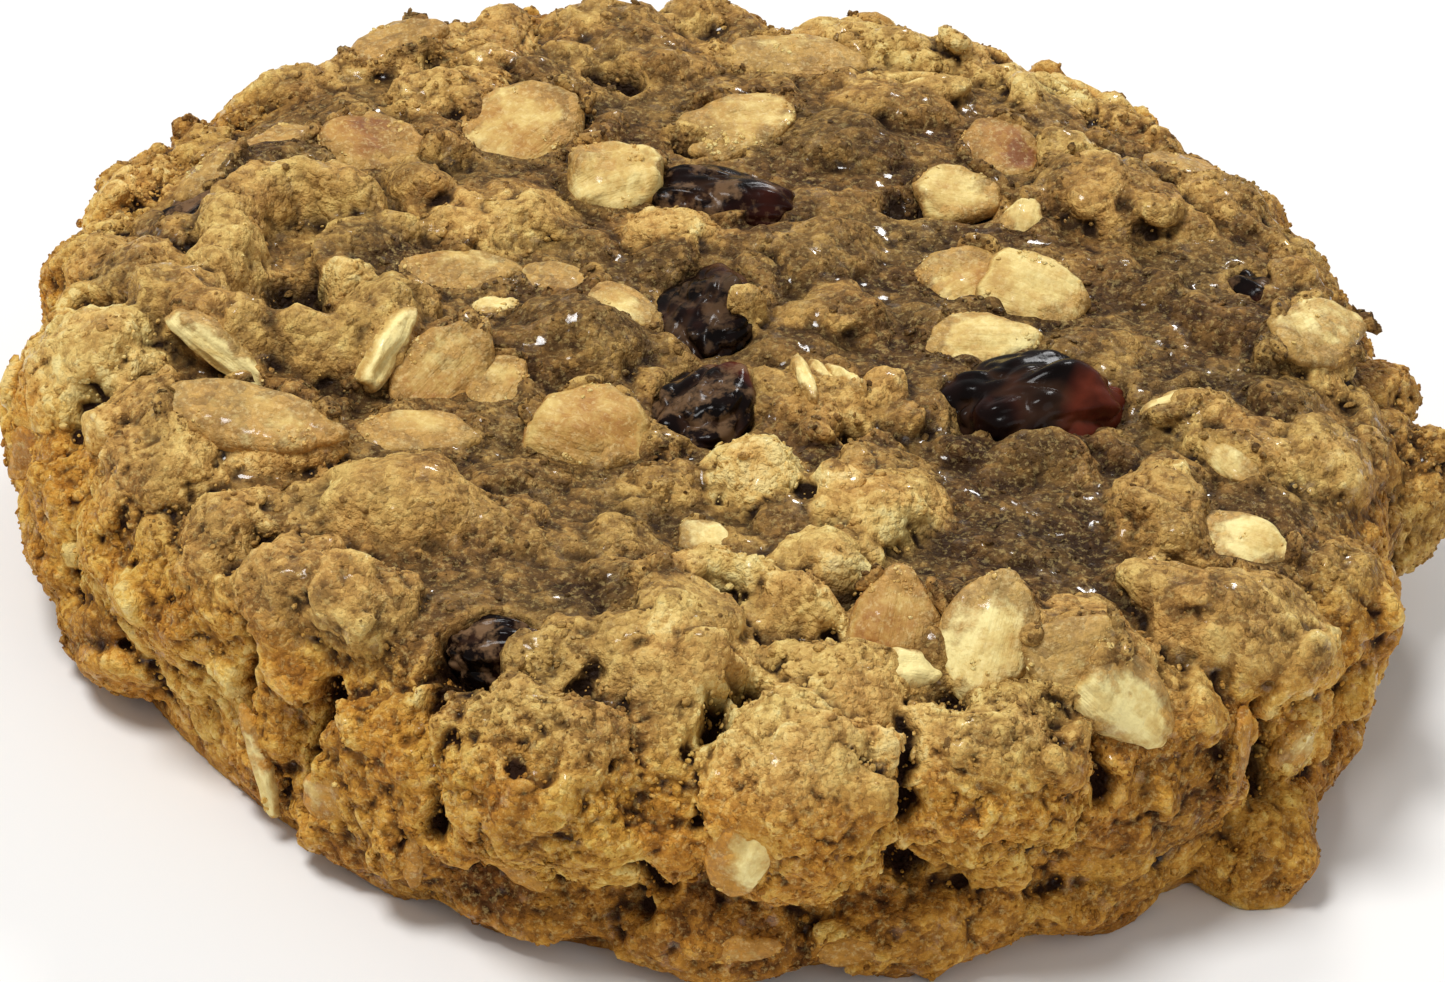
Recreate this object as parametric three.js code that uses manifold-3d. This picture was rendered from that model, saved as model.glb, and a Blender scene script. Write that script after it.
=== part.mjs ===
// An oatmeal raisin cookie: a thick round of crumbly dough with oat flakes baked into it and
// raisins half sunk in its crown. Millimetres, +Z up, the flat underside on z = 0, the front is -Y.
//
// The dough is one solid. A smooth bare body is covered with rounded lumps, ridges and cracks, all
// written as one distance field, and a sphere's vertices are moved out onto that field. The flakes
// are thin discs joined to the dough, and each raisin sits in a socket of its own shape.
import * as THREE from 'three';
import { mergeVertices } from 'three/addons/utils/BufferGeometryUtils.js';
import Module from 'manifold-3d';

const wasm = await Module();
wasm.setup();

// ---- driving dimensions ----
const CROWN_HEIGHT = 20.4;     // top of the bare body, before its lumps
const WIDEST_HEIGHT = 9;      // level at which the body is widest
const UNDER_DEPTH = 13;       // how quickly the side closes below that level
const CORE_RADIUS = 36;       // inside this radius the crown is level
const EDGE_POWER = 3.4;       // 2 is a round edge, higher is squarer
const RADII = [47.5, 48, 48.3, 49.6, 50, 50, 50.2, 46.6, 46.4, 47.3, 47.6, 49.3];  // every 30 degrees
const BLEND = 0.7;            // how softly lumps run into each other
const CRACK_BLEND = 1.3;
const LUMP_RELIEF = 1.2;      // scale on the rise of every lump
const CENTRE_SHIFT = [0.1, -0.7];    // brings the middle of the finished outline onto the origin
const DOUGH_DETAIL = 14;
const RAISIN_DETAIL = 2;
const SOCKET_GAP = 0.3;
const FLAKE_SUNK = 0.18;      // share of a flake's thickness by which its middle lies in the dough
const MARCH_REACH = 34;       // the search for the surface starts this far from the core
const MARCH_STEP = 0.4;

// ---- what lies on the crown: [x, y, length, width, rise, turn in degrees] ----
const CROWN_LUMPS = [
  // left rim and left crown
  [-36, 32.6, 6.5, 6, 2.3, 0], [-42.3, 24.3, 7, 5, 1.6, 40], [-24, 30.5, 9, 7, 1.6, 20],
  [-37.5, 17, 9, 6, 1.4, 30],
  [-47.5, 6, 6, 7, 1.6, 0], [-44, 3, 7, 7, 2.0, 0], [-41.5, 7.5, 4, 4, 1.6, 0],
  [-47.5, -7, 11, 13, 2.8, 80], [-44.5, -8, 4.5, 4, 3.0, 0], [-39.5, -20.5, 9, 8, 2.0, 30],
  [-29, 3.5, 4.5, 4, 1.8, 0], [-28, 10, 8, 5, 1.2, 20], [-25.5, 17.5, 3.8, 3.5, 1.8, 0],
  [-23.5, 22.5, 4.5, 4, 1.5, 0], [-33, -12, 8, 5, 1.4, -20], [-34, -17.5, 13, 7, 2.0, -8],
  [-42, -14, 7, 6, 1.8, 10],
  // front left
  [-23.3, -24, 13, 9, 2.4, 10], [-29.5, -26, 7, 7, 1.2, 0], [-29.5, -32.3, 9, 8, 2.4, 0],
  [-24, -35, 7, 7, 2.2, 0], [-34.8, -27.5, 9, 8, 1.8, 40], [-15, -24.5, 8, 7, 1.0, 0],
  // middle
  [-12.5, 0, 13, 9, 1.4, -8], [-15, -19.5, 9, 6, 0.9, 20], [5, 13.5, 10, 8, 1.5, 0],
  [-5.5, 13, 8, 6, 1.8, -20], [-5, -13.5, 5, 5, 1.0, 0], [-4.5, -18.5, 6, 5, 1.1, 20],
  [2, -17.2, 8, 7.5, 2.2, 0], [10.5, -20, 10, 8, 1.9, 25], [6.8, -27.8, 7, 6.6, 2.4, 0],
  [2.2, -6, 6, 5, 1.4, 0], [7.5, 4.5, 10, 8, 1.0, 30], [12.5, -6, 9, 7, 1.0, 0],
  // back
  [-5, 47, 10, 6, 2.0, 5], [-13.5, 44.5, 9, 6, 1.8, 0], [6.5, 46, 9, 5, 1.7, 0],
  [7, 29, 12, 9, 1.2, -10], [26.5, 24, 12, 9, 1.9, -30],
  [36, 26, 9, 7, 1.6, -40], [41.2, 21.4, 8, 6, 1.8, -60], [11, 35, 9, 6, 1.2, -10],
  [-8, 38, 8, 6, 1.0, 10],
  // right
  [34, -5, 7, 5, 1.8, -10], [42, -8.5, 6, 6, 1.8, 0], [37, -9, 9, 5, 1.6, -15],
  [30.5, -17.5, 7, 9, 1.7, 10], [35, 9, 13, 8, 1.0, -30], [42.5, 5, 5, 9, 1.6, 0],
  [25.5, 3.5, 8, 5, 0.9, 0], [41, 14, 6, 6, 1.2, 0],
  // front right
  [36.5, -28, 14, 9, 2.6, 20], [31.5, -27, 6, 4, 2.2, -20], [25, -34.5, 11, 9, 2.6, -5],
  [17, -34, 9, 8, 1.0, 0],
  // front middle
  [-3, -38.5, 12, 10, 2.4, 20], [-9.5, -38.3, 5.5, 5, 1.4, 0], [9, -39, 9, 6, 1.6, 0],
];

// ---- ridges, each a row of lumps along a curve: points, width and rise ----
const CROWN_RIDGES = [
  { points: [[-37.5, 4], [-38.2, 9], [-35, 14], [-29, 13.5]], width: 4.6, rise: 2.4 },
  { points: [[-42, -2.5], [-37, -6], [-31, -6.5], [-26, -5.5], [-25.5, -1]], width: 6, rise: 2.5 },
  { points: [[-33, 34.5], [-28, 36.5], [-21, 39]], width: 5.5, rise: 1.6 },
  { points: [[10, 44.5], [18, 43], [26, 39.5]], width: 6.5, rise: 1.6 },
  { points: [[-6, -33], [-1, -31.5], [4, -34]], width: 3.6, rise: 2.2 },
];

// ---- what lies on the side: [azimuth, height, width, tall, rise, turn in degrees] ----
const SIDE_LUMPS = [
  [186, 13.5, 13, 12, 2.4, 0], [197, 9.5, 13, 13, 3.0, 0], [208, 13, 11, 11, 2.6, 0],
  [217, 13, 15, 12, 2.2, 20], [229, 8, 5, 12, 1.2, -10], [243, 9.5, 13, 15, 2.6, 0],
  [257, 14, 15, 13, 3.6, 10], [267.5, 12, 5, 11, 1.4, 0], [278, 15, 15, 13, 3.8, -5],
  [295, 15.5, 14, 11, 3.2, 5], [311, 12, 14, 13, 2.2, 0], [328, 10, 5, 8, 1.4, 0],
  [337, 14, 12, 11, 2.0, 0], [204, 4.5, 14, 8, 2.6, 0],
  [255, 3.5, 15, 7, 1.4, 0], [272, 3, 13, 6, 2.2, 0], [290, 3.5, 16, 7, 1.7, 0],
  [306, 3, 11, 6, 1.6, 0], [322, 3.2, 10, 9, 4.4, 0], [334, 3.5, 13, 7, 1.2, 0], [240, 3.6, 13, 7, 1.6, 0],
  [188, 4.5, 13, 8, 1.8, 0], [5.5, 9, 13, 12, 5.0, 0], [11, 14.3, 6, 5, 3.4, 0],
];
const HIDDEN_FROM = 24;       // azimuths without a placed lump get drawn ones
const HIDDEN_TO = 176;
const HIDDEN_ROWS = [{ height: 4.5, step: 13 }, { height: 13.5, step: 14.5 }];

// ---- cracks and hollows: points on the crown, or [azimuth, height] on the side ----
const CROWN_CRACKS = [
  { points: [[-48, 0.5], [-44.5, -3]], width: 1.3, depth: 2.4 },
  { points: [[-36.5, -11.5], [-33, -12.2]], width: 1.1, depth: 1.6 },
  { points: [[-32.5, 1]], width: 2.4, depth: 2.4 },
  { points: [[-17, -38.6], [-17.8, -41]], width: 2.1, depth: 3.4 },
  { points: [[8, -31.5], [11, -30.5]], width: 1.4, depth: 2.2 },
  { points: [[8.5, -10.3]], width: 1.3, depth: 1.6 },
  { points: [[30.5, -24], [35, -22.5]], width: 1.2, depth: 2.0 },
  { points: [[11, 21], [17, 21.5]], width: 1.8, depth: 1.4 },
  { points: [[-31.5, -29]], width: 1.3, depth: 1.6 },
  { points: [[16.5, -40]], width: 1.3, depth: 1.6 },
  { points: [[24.5, 27.5]], width: 1.3, depth: 1.4 },
  { points: [[2.5, -41.5]], width: 1.5, depth: 2.0 },
];
const SIDE_CRACKS = [
  { points: [[235.5, 14], [235, 6]], width: 1.5, depth: 2.0 },
  { points: [[249.5, 18], [249.5, 9]], width: 1.5, depth: 2.4 },
  { points: [[285, 12], [288, 8.5]], width: 1.4, depth: 1.8 },
  { points: [[286.5, 19], [286.5, 14]], width: 1.3, depth: 1.6 },
  { points: [[322, 15], [322, 8]], width: 1.7, depth: 2.0 },
  { points: [[349, 15], [350, 5]], width: 1.9, depth: 2.2 },
];

// ---- oat flakes on the crown:
// [x, y, length, width, thick, lean to the front, lean to the right, turn in degrees] ----
const CROWN_FLAKES = [
  [-17.7, 27, 11, 8.4, 2.4, 16, 0, 50], [-10.6, 20.5, 7.8, 7.4, 4.6, 28, 0, 25],
  [-1.8, 30.4, 10.4, 7, 1.8, 8, 0, 31], [2.4, 41, 12, 6, 1.6, 10, 0, 4],
  [15.4, 23, 7.2, 5.3, 2.2, 20, 0, -4], [20.4, 20.2, 4, 3.3, 1.8, 20, 0, 80],
  [18.6, 29.5, 7.3, 5.9, 1.8, 15, 0, -53], [21.3, 10, 8.4, 7, 2.4, 26, 0, -20],
  [16, 11.8, 7.2, 6.3, 2, 12, 0, 42], [17.4, 3.3, 8.8, 5.6, 2, 14, 0, 8],
  [41.7, 6.1, 10, 6.1, 1.6, 10, 20, 51], [31.6, -3.9, 5.6, 3.8, 1.3, 0, 0, 1],
  [35.6, -10.6, 5.5, 3.2, 1.3, 0, 0, -54], [36.3, -19, 7.4, 5, 1.6, 15, 0, -8],
  [12.3, -34.1, 8.6, 7, 2.2, 38, 0, 83], [18.7, -35.1, 8.8, 7.4, 2.2, 34, 0, 76],
  [27.8, -36.8, 9.4, 5.6, 2.6, 8, 0, -8], [13.4, -38.2, 4.6, 3.2, 1.4, 20, 0, 20],
  [-10.1, -13.6, 9.2, 8.2, 5, 24, 0, -17], [-21.4, -7.3, 9, 6.4, 2, 32, 0, 60],
  [-17.2, -7.9, 6.2, 4.2, 1.4, 18, 0, 65], [-22.2, -14.8, 8.8, 5, 1.8, 8, 0, 1],
  [-25.3, -8, 7.4, 2.5, 2, 10, 25, 84], [-37, -9, 9.4, 2.7, 2, 34, -8, -38],
  [-33.9, -18.2, 13.4, 5.4, 1.6, 12, 0, -13], [-21.1, 6.6, 8.8, 5.1, 1.5, 8, 0, 12],
  [-13.9, 6.9, 5.5, 4, 1.4, 5, 0, 0], [-8.9, 3.6, 6.5, 4.4, 1.5, 10, 0, -28],
  [-18.2, 2.5, 3.7, 2.4, 1.2, 0, 0, 12], [-29, 22.4, 8.7, 7.2, 3.2, 10, 0, 0],
  [-36.3, 22.1, 6.3, 4.2, 1.4, 10, 0, 41], [-40.7, 16.6, 6.6, 3.6, 1.4, 10, 0, 48],
  [4.7, -5.9, 6, 1.5, 2, 0, 0, -73], [7.6, -5.2, 5.6, 1.4, 2, 0, 0, -58],
  [6.2, -4.4, 5, 1.2, 1.8, 0, 0, -64], [-1.3, -24.7, 4.2, 3.6, 1.5, 15, 0, -15],
  [-28, 36.4, 8, 5, 1.5, 14, 0, 25], [33, 30, 8, 6, 1.5, 12, 0, -40],
  [24, -36, 7, 5, 1.5, 20, 0, 30],
];

// ---- oat flakes on the side:
// [azimuth, height, length, width, thick, lean up, lean along, turn in degrees] ----
const SIDE_FLAKES = [
  [229.4, 6.6, 9, 1.7, 1.2, 0, 0, -70], [238, 7.6, 4.6, 4, 1.4, 0, 20, 70],
  [255.5, 7.5, 6, 3, 1.3, -12, 0, -50], [273.5, 13.2, 7.5, 4.6, 2, -5, 0, 75],
  [317, 13, 6.5, 3.2, 1.3, 0, 20, 60], [190, 12, 6.5, 3, 1.3, 0, 20, 78],
  [283, 3.5, 5, 3.2, 1.3, -10, 0, 10], [326, 9.5, 5, 4.6, 1.6, 0, 10, 60],
  [247, 6, 5, 1.6, 1, 0, 20, 88], [274.5, 4, 5, 2.4, 1, 0, 0, 10],
];
const HIDDEN_FLAKES = 15;

// ---- raisins on the crown: length, width, height, how far the top stands over the bare body ----
const RAISINS = [
  { name: 'raisin_right', at: [21.5, -4.4], size: [12.8, 10.8, 8.4], rise: 3.2, turn: 22, folds: 4 },
  { name: 'raisin_middle_back', at: [-2.3, 4.4], size: [11.4, 7.4, 6.5], rise: 2, turn: 84, folds: 4 },
  { name: 'raisin_middle_front', at: [-1.9, -7.9], size: [10, 7.6, 6.5], rise: 1.9, turn: 80, folds: 3 },
  { name: 'raisin_back', at: [-2.4, 20.4], size: [13.2, 8, 7], rise: 1.5, turn: -8, folds: 4 },
  { name: 'raisin_front', at: [-14.6, -36.8], size: [8, 5.6, 5.6], rise: 0.15, turn: -8, folds: 3 },
  { name: 'raisin_left', at: [-41, 12.6], size: [7.8, 6.4, 5.6], rise: 0.6, turn: 40, folds: 3 },
  { name: 'raisin_rim', at: [38.6, 14.2], size: [7, 5.6, 5.6], rise: 0.5, turn: -35, folds: 3 },
];

const COLOURS = { dough: '#b98843', raisin: '#2a1512' };

const radians = THREE.MathUtils.degToRad;

// a seeded row of numbers from 0 to 1, the same at each run
function makeDraw(seed) {
  let state = seed;
  return () => {
    state = (state * 1664525 + 1013904223) % 4294967296;
    return state / 4294967296;
  };
}

function between(draw, low, high) {
  return low + (high - low) * draw();
}

// ---- the bare body ----
function footprintRadius(azimuth) {
  const count = RADII.length;
  const place = ((azimuth / (2 * Math.PI)) * count + count) % count;
  const index = Math.floor(place);
  const f = place - index;
  const [a, b, c, d] = [-1, 0, 1, 2].map((k) => RADII[(index + k + count) % count]);
  const square = (2 * a - 5 * b + 4 * c - d) * f * f;
  return 0.5 * (2 * b + (c - a) * f + square + (3 * b - a - 3 * c + d) * f ** 3);
}

function bareBody(p) {
  const rimWidth = footprintRadius(Math.atan2(p.y, p.x)) - CORE_RADIUS;
  const out = Math.max(Math.hypot(p.x, p.y) - CORE_RADIUS, 0) / rimWidth;
  const above = p.z > WIDEST_HEIGHT;
  const depth = above ? CROWN_HEIGHT - WIDEST_HEIGHT : UNDER_DEPTH;
  const up = Math.abs(p.z - WIDEST_HEIGHT) / depth;
  return ((out ** EDGE_POWER + up ** EDGE_POWER) ** (1 / EDGE_POWER) - 1) * rimWidth;
}

// the first point inside a field, going in from far out along a line
function surfaceOn(field, start, direction, reach = MARCH_REACH) {
  const at = (t) => start.clone().addScaledVector(direction, t);
  let outer = reach;
  while (outer > 0 && field(at(outer - MARCH_STEP)) > 0) outer -= MARCH_STEP;
  let inner = outer - MARCH_STEP;
  for (let halving = 0; halving < 18; halving++) {
    const middle = (inner + outer) / 2;
    if (field(at(middle)) > 0) outer = middle;
    else inner = middle;
  }
  return at(inner);
}

// A place on the surface of a field, as a matrix: Z points out of the surface, and X runs along the
// crown, or level round the side.
function slopeOf(field, point) {
  const step = 0.4;
  const along = (x, y, z) => field(point.clone().add(new THREE.Vector3(x, y, z)));
  return new THREE.Vector3(
    along(step, 0, 0) - along(-step, 0, 0),
    along(0, step, 0) - along(0, -step, 0),
    along(0, 0, step) - along(0, 0, -step),
  ).normalize();
}

function seatOnCrown(field, x, y) {
  const top = surfaceOn(field, new THREE.Vector3(x, y, 0), new THREE.Vector3(0, 0, 1));
  const out = slopeOf(bareBody, top);
  const side = new THREE.Vector3(0, 1, 0).cross(out).normalize();
  return new THREE.Matrix4().makeBasis(side, out.clone().cross(side), out).setPosition(top);
}

function seatOnSide(field, azimuth, height) {
  const angle = radians(azimuth);
  const start = new THREE.Vector3(0, 0, height);
  const outward = new THREE.Vector3(Math.cos(angle), Math.sin(angle), 0);
  const face = surfaceOn(field, start, outward, 70);
  const out = slopeOf(bareBody, face);
  const side = new THREE.Vector3(0, 0, 1).cross(out).normalize();
  return new THREE.Matrix4().makeBasis(side, out.clone().cross(side), out).setPosition(face);
}

function turned(seat, turn, sink) {
  const local = new THREE.Matrix4().makeTranslation(0, 0, -sink);
  return seat.clone().multiply(local).multiply(new THREE.Matrix4().makeRotationZ(radians(turn)));
}

// ---- lumps, as ellipsoids sunk in the bare body ----
function makeLump(seat, length, width, rise, turn) {
  const proud = rise * LUMP_RELIEF;
  const height = Math.max(0.42 * Math.min(length, width), proud * 1.15);
  const place = turned(seat, turn, height - proud);
  const spread = 0.54;
  return {
    inverse: place.clone().invert(),
    centre: new THREE.Vector3().setFromMatrixPosition(place),
    radii: new THREE.Vector3(length * spread, width * spread, height),
    reach: Math.max(length, width) * 0.6 + 3,
  };
}

function lumpDistance(lump, p) {
  const local = p.clone().applyMatrix4(lump.inverse);
  const scaled = local.clone().divide(lump.radii);
  const steep = scaled.clone().divide(lump.radii).length();
  const size = scaled.length();
  return steep > 0 ? (size * (size - 1)) / steep : -1;
}

function smoothMin(a, b, blend) {
  const h = Math.max(blend - Math.abs(a - b), 0) / blend;
  return Math.min(a, b) - (h * h * blend) / 4;
}

function ridgeLumps(ridge) {
  const curve = new THREE.CatmullRomCurve3(ridge.points.map(([x, y]) => new THREE.Vector3(x, y, 0)));
  const count = Math.ceil(curve.getLength() / (ridge.width * 0.42));
  return curve.getSpacedPoints(count).map((p) => {
    const seat = seatOnCrown(bareBody, p.x, p.y);
    return makeLump(seat, ridge.width * 1.05, ridge.width, ridge.rise, 0);
  });
}

function hiddenLumps(draw) {
  const lumps = [];
  for (const row of HIDDEN_ROWS) {
    for (let azimuth = HIDDEN_FROM; azimuth < HIDDEN_TO; azimuth += row.step) {
      const place = azimuth + between(draw, -3, 3);
      const seat = seatOnSide(bareBody, place, row.height + between(draw, -1.5, 1.5));
      const width = between(draw, 10, 15);
      const tall = between(draw, 7, 11);
      lumps.push(makeLump(seat, width, tall, between(draw, 1.2, 3), between(draw, -25, 25)));
    }
  }
  return lumps;
}

// ---- cracks, as round-ended grooves that follow the surface ----
function makeCrack(crack, seatOn) {
  const places = crack.points.map(([a, b]) => {
    const seat = seatOn(bareBody, a, b);
    const top = new THREE.Vector3().setFromMatrixPosition(seat);
    const out = new THREE.Vector3().setFromMatrixColumn(seat, 2);
    const mouth = top.clone().addScaledVector(out, 3);
    return { mouth, foot: top.addScaledVector(out, crack.width - crack.depth) };
  });
  const first = places[0];
  const last = places[places.length - 1];
  return { corners: [first.foot, last.foot, last.mouth, first.mouth], width: crack.width };
}

function distanceToLine(p, a, b) {
  const line = new THREE.Line3(a, b);
  return line.closestPointToPoint(p, true, new THREE.Vector3()).distanceTo(p);
}

// distance to the wall between a crack's foot and its mouth, less half the crack's width
function crackDistance(crack, p) {
  const [a, b, c, d] = crack.corners;
  if (a.distanceTo(b) < 0.1) return distanceToLine(p, a, d) - crack.width;
  const wall = [new THREE.Triangle(a, b, c), new THREE.Triangle(a, c, d)];
  const near = wall.map((t) => t.closestPointToPoint(p, new THREE.Vector3()).distanceTo(p));
  return Math.min(...near) - crack.width;
}

function makeDoughField() {
  const draw = makeDraw(41);
  const lumps = [
    ...CROWN_LUMPS.map(([x, y, l, w, rise, turn]) => makeLump(seatOnCrown(bareBody, x, y), l, w, rise, turn)),
    ...CROWN_RIDGES.flatMap(ridgeLumps),
    ...SIDE_LUMPS.map(([a, h, w, t, rise, turn]) => makeLump(seatOnSide(bareBody, a, h), w, t, rise, turn)),
    ...hiddenLumps(draw),
  ];
  const cracks = [
    ...CROWN_CRACKS.map((crack) => makeCrack(crack, seatOnCrown)),
    ...SIDE_CRACKS.map((crack) => makeCrack(crack, seatOnSide)),
  ];
  return (p) => {
    let distance = bareBody(p);
    for (const lump of lumps) {
      if (lump.centre.distanceTo(p) < lump.reach) {
        distance = smoothMin(distance, lumpDistance(lump, p), BLEND);
      }
    }
    if (Math.abs(distance) < 6) {
      for (const crack of cracks) {
        if (crack.corners[0].distanceTo(p) < 20) {
          distance = -smoothMin(-distance, crackDistance(crack, p), CRACK_BLEND);
        }
      }
    }
    return Math.max(distance, -p.z);
  };
}

// ---- solids ----
function toManifold(geometry) {
  geometry.deleteAttribute('normal');
  geometry.deleteAttribute('uv');
  const merged = mergeVertices(geometry, 1e-4);
  const vertProperties = new Float32Array(merged.attributes.position.array);
  const triVerts = new Uint32Array(merged.index.array);
  return new wasm.Manifold(new wasm.Mesh({ numProp: 3, vertProperties, triVerts }));
}

function toGeometry(solid) {
  const mesh = solid.getMesh();
  const geometry = new THREE.BufferGeometry();
  geometry.setAttribute('position', new THREE.BufferAttribute(new Float32Array(mesh.vertProperties), 3));
  geometry.setIndex(new THREE.BufferAttribute(new Uint32Array(mesh.triVerts), 1));
  geometry.computeVertexNormals();
  return geometry;
}

// A sphere's vertices go to three zones of the body: the level crown, the rounded rim, which turns
// from straight up to straight down, and the flat underside, which needs only a few.
function doughGeometry(field) {
  const crownShare = 0.24;
  const underShare = -0.8;
  const core = CORE_RADIUS - 1;
  const geometry = new THREE.IcosahedronGeometry(1, DOUGH_DETAIL);
  const position = geometry.attributes.position;
  for (let i = 0; i < position.count; i++) {
    const unit = new THREE.Vector3().fromBufferAttribute(position, i).normalize();
    const azimuth = Math.atan2(unit.y, unit.x);
    let radius = core;
    let pitch = 0;
    if (unit.z > crownShare) {
      radius = core * Math.sqrt((1 - unit.z) / (1 - crownShare));
      pitch = Math.PI / 2;
    } else if (unit.z < underShare) {
      radius = core * Math.sqrt((1 + unit.z) / (1 + underShare));
      pitch = -Math.PI / 2;
    } else {
      pitch = ((unit.z - underShare) / (crownShare - underShare) - 0.5) * Math.PI;
    }
    const start = new THREE.Vector3(radius * Math.cos(azimuth), radius * Math.sin(azimuth), WIDEST_HEIGHT);
    const flat = Math.cos(pitch);
    const outward = new THREE.Vector3(flat * Math.cos(azimuth), flat * Math.sin(azimuth), Math.sin(pitch));
    const place = surfaceOn(field, start, outward);
    if (place.z < 0.02) place.z = 0;
    position.setXYZ(i, place.x, place.y, place.z);
  }
  return geometry;
}

// an oat flake: a thin oval disc, its middle slightly hollow along its length
function flakeGeometry(length, width, thick) {
  const geometry = new THREE.SphereGeometry(1, 8, 4);
  geometry.rotateX(Math.PI / 2);
  geometry.scale(length / 2, width / 2, thick / 2);
  const position = geometry.attributes.position;
  for (let i = 0; i < position.count; i++) {
    const across = position.getY(i) / (width / 2);
    position.setZ(i, position.getZ(i) + 0.12 * thick * across * across);
  }
  return geometry;
}

// A flake leans one way and the other before it is turned, and the more it leans the less it sinks.
function flakeSolid(seat, [length, width, thick, front, right, turn]) {
  const slope = Math.abs(Math.sin(radians(front))) + Math.abs(Math.sin(radians(right)));
  const sink = FLAKE_SUNK * thick - 0.3 * width * slope;
  const lean = new THREE.Euler(radians(front), radians(right), radians(turn), 'XYZ');
  const place = turned(seat, 0, sink).multiply(new THREE.Matrix4().makeRotationFromEuler(lean));
  return toManifold(flakeGeometry(length, width, thick).applyMatrix4(place));
}

function hiddenFlakes(field, draw) {
  return Array.from({ length: HIDDEN_FLAKES }, (_, i) => {
    const azimuth = HIDDEN_FROM + 6 + (i * (HIDDEN_TO - HIDDEN_FROM - 12)) / (HIDDEN_FLAKES - 1);
    const seat = seatOnSide(field, azimuth, i % 2 ? between(draw, 11, 15) : between(draw, 4, 7));
    const length = between(draw, 7, 9.5);
    const tip = between(draw, -25, 25);
    return flakeSolid(seat, [length, length * 0.66, 1.5, 0, tip, between(draw, -80, 80)]);
  });
}

// A raisin: a rounded body folded in along its length, deeper towards the middle.
function raisinGeometry({ size, folds }, grow) {
  const [length, width, height] = size;
  const geometry = new THREE.IcosahedronGeometry(1, RAISIN_DETAIL);
  const position = geometry.attributes.position;
  for (let i = 0; i < position.count; i++) {
    const unit = new THREE.Vector3().fromBufferAttribute(position, i).normalize();
    const around = Math.atan2(unit.z, unit.y);
    const fold = Math.cos(folds * around + 1.6 * unit.x) * (1 - unit.x * unit.x);
    const scale = 1 + 0.09 * fold + 0.05 * Math.sin(5 * unit.x + 2 * around);
    const place = unit.multiplyScalar(scale);
    place.multiply(new THREE.Vector3(length / 2, width / 2, height / 2));
    place.setLength(place.length() + grow);
    position.setXYZ(i, place.x, place.y, place.z);
  }
  return geometry;
}

function raisinPlace(raisin) {
  const seat = seatOnCrown(bareBody, ...raisin.at);
  return turned(seat, raisin.turn, raisin.size[2] / 2 - raisin.rise);
}

// ---- the cookie ----
function makeCookie() {
  const field = makeDoughField();
  const draw = makeDraw(97);
  let dough = toManifold(doughGeometry(field));
  const flakes = [
    ...CROWN_FLAKES.map(([x, y, ...flake]) => flakeSolid(seatOnCrown(field, x, y), flake)),
    ...SIDE_FLAKES.map(([azimuth, z, ...flake]) => flakeSolid(seatOnSide(field, azimuth, z), flake)),
    ...hiddenFlakes(field, draw),
  ];
  for (const flake of flakes) dough = dough.add(flake);
  for (const raisin of RAISINS) {
    const socket = raisinGeometry(raisin, SOCKET_GAP).applyMatrix4(raisinPlace(raisin));
    dough = dough.subtract(toManifold(socket));
  }
  return toGeometry(dough);
}

const cookie = new THREE.Group();
cookie.position.set(...CENTRE_SHIFT, 0);

const finishes = {
  dough: new THREE.MeshStandardMaterial({ color: COLOURS.dough, roughness: 0.65, metalness: 0 }),
  raisin: new THREE.MeshStandardMaterial({ color: COLOURS.raisin, roughness: 0.35, metalness: 0 }),
};
const doughMesh = new THREE.Mesh(makeCookie(), finishes.dough);
doughMesh.name = 'cookie';
cookie.add(doughMesh);

for (const raisin of RAISINS) {
  const mesh = new THREE.Mesh(raisinGeometry(raisin, 0), finishes.raisin);
  mesh.applyMatrix4(raisinPlace(raisin));
  mesh.name = raisin.name;
  cookie.add(mesh);
}

export default cookie;
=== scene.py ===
"""An oatmeal raisin cookie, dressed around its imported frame.

Sizes and places are in millimetres on the bare body, as in the part's source, and each finished
piece is moved by CENTRE_SHIFT and scaled to metres once. The front is -Y.

The dough starts as a smooth bare body. Lumps, ridges, flake beds and grains are laid on it, all of
it is fused by one fine remesh, and cracks, crumb and pits are then carved in along the surface.
"""

import math
import random

import bmesh
import bpy
import numpy as np
from mathutils import Matrix, Vector, noise
from mathutils.bvhtree import BVHTree


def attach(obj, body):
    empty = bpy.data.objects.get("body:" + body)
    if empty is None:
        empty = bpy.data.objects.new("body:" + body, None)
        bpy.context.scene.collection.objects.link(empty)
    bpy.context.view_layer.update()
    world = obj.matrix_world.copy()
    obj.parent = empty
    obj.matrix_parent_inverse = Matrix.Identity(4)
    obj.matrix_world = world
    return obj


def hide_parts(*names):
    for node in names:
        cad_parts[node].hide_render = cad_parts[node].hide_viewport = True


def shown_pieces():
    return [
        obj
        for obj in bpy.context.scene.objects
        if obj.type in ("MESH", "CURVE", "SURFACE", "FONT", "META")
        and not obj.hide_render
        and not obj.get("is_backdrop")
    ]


MM = 0.001

# ---- the bare body, as in the part's source, mm ----
CROWN_HEIGHT = 20.4
WIDEST_HEIGHT = 9
UNDER_DEPTH = 13
CORE_RADIUS = 36
EDGE_POWER = 3.4
RADII = [47.5, 48, 48.3, 49.6, 50, 50, 50.2, 46.6, 46.4, 47.3, 47.6, 49.3]
CENTRE_SHIFT = (0.1, -0.7)

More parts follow.
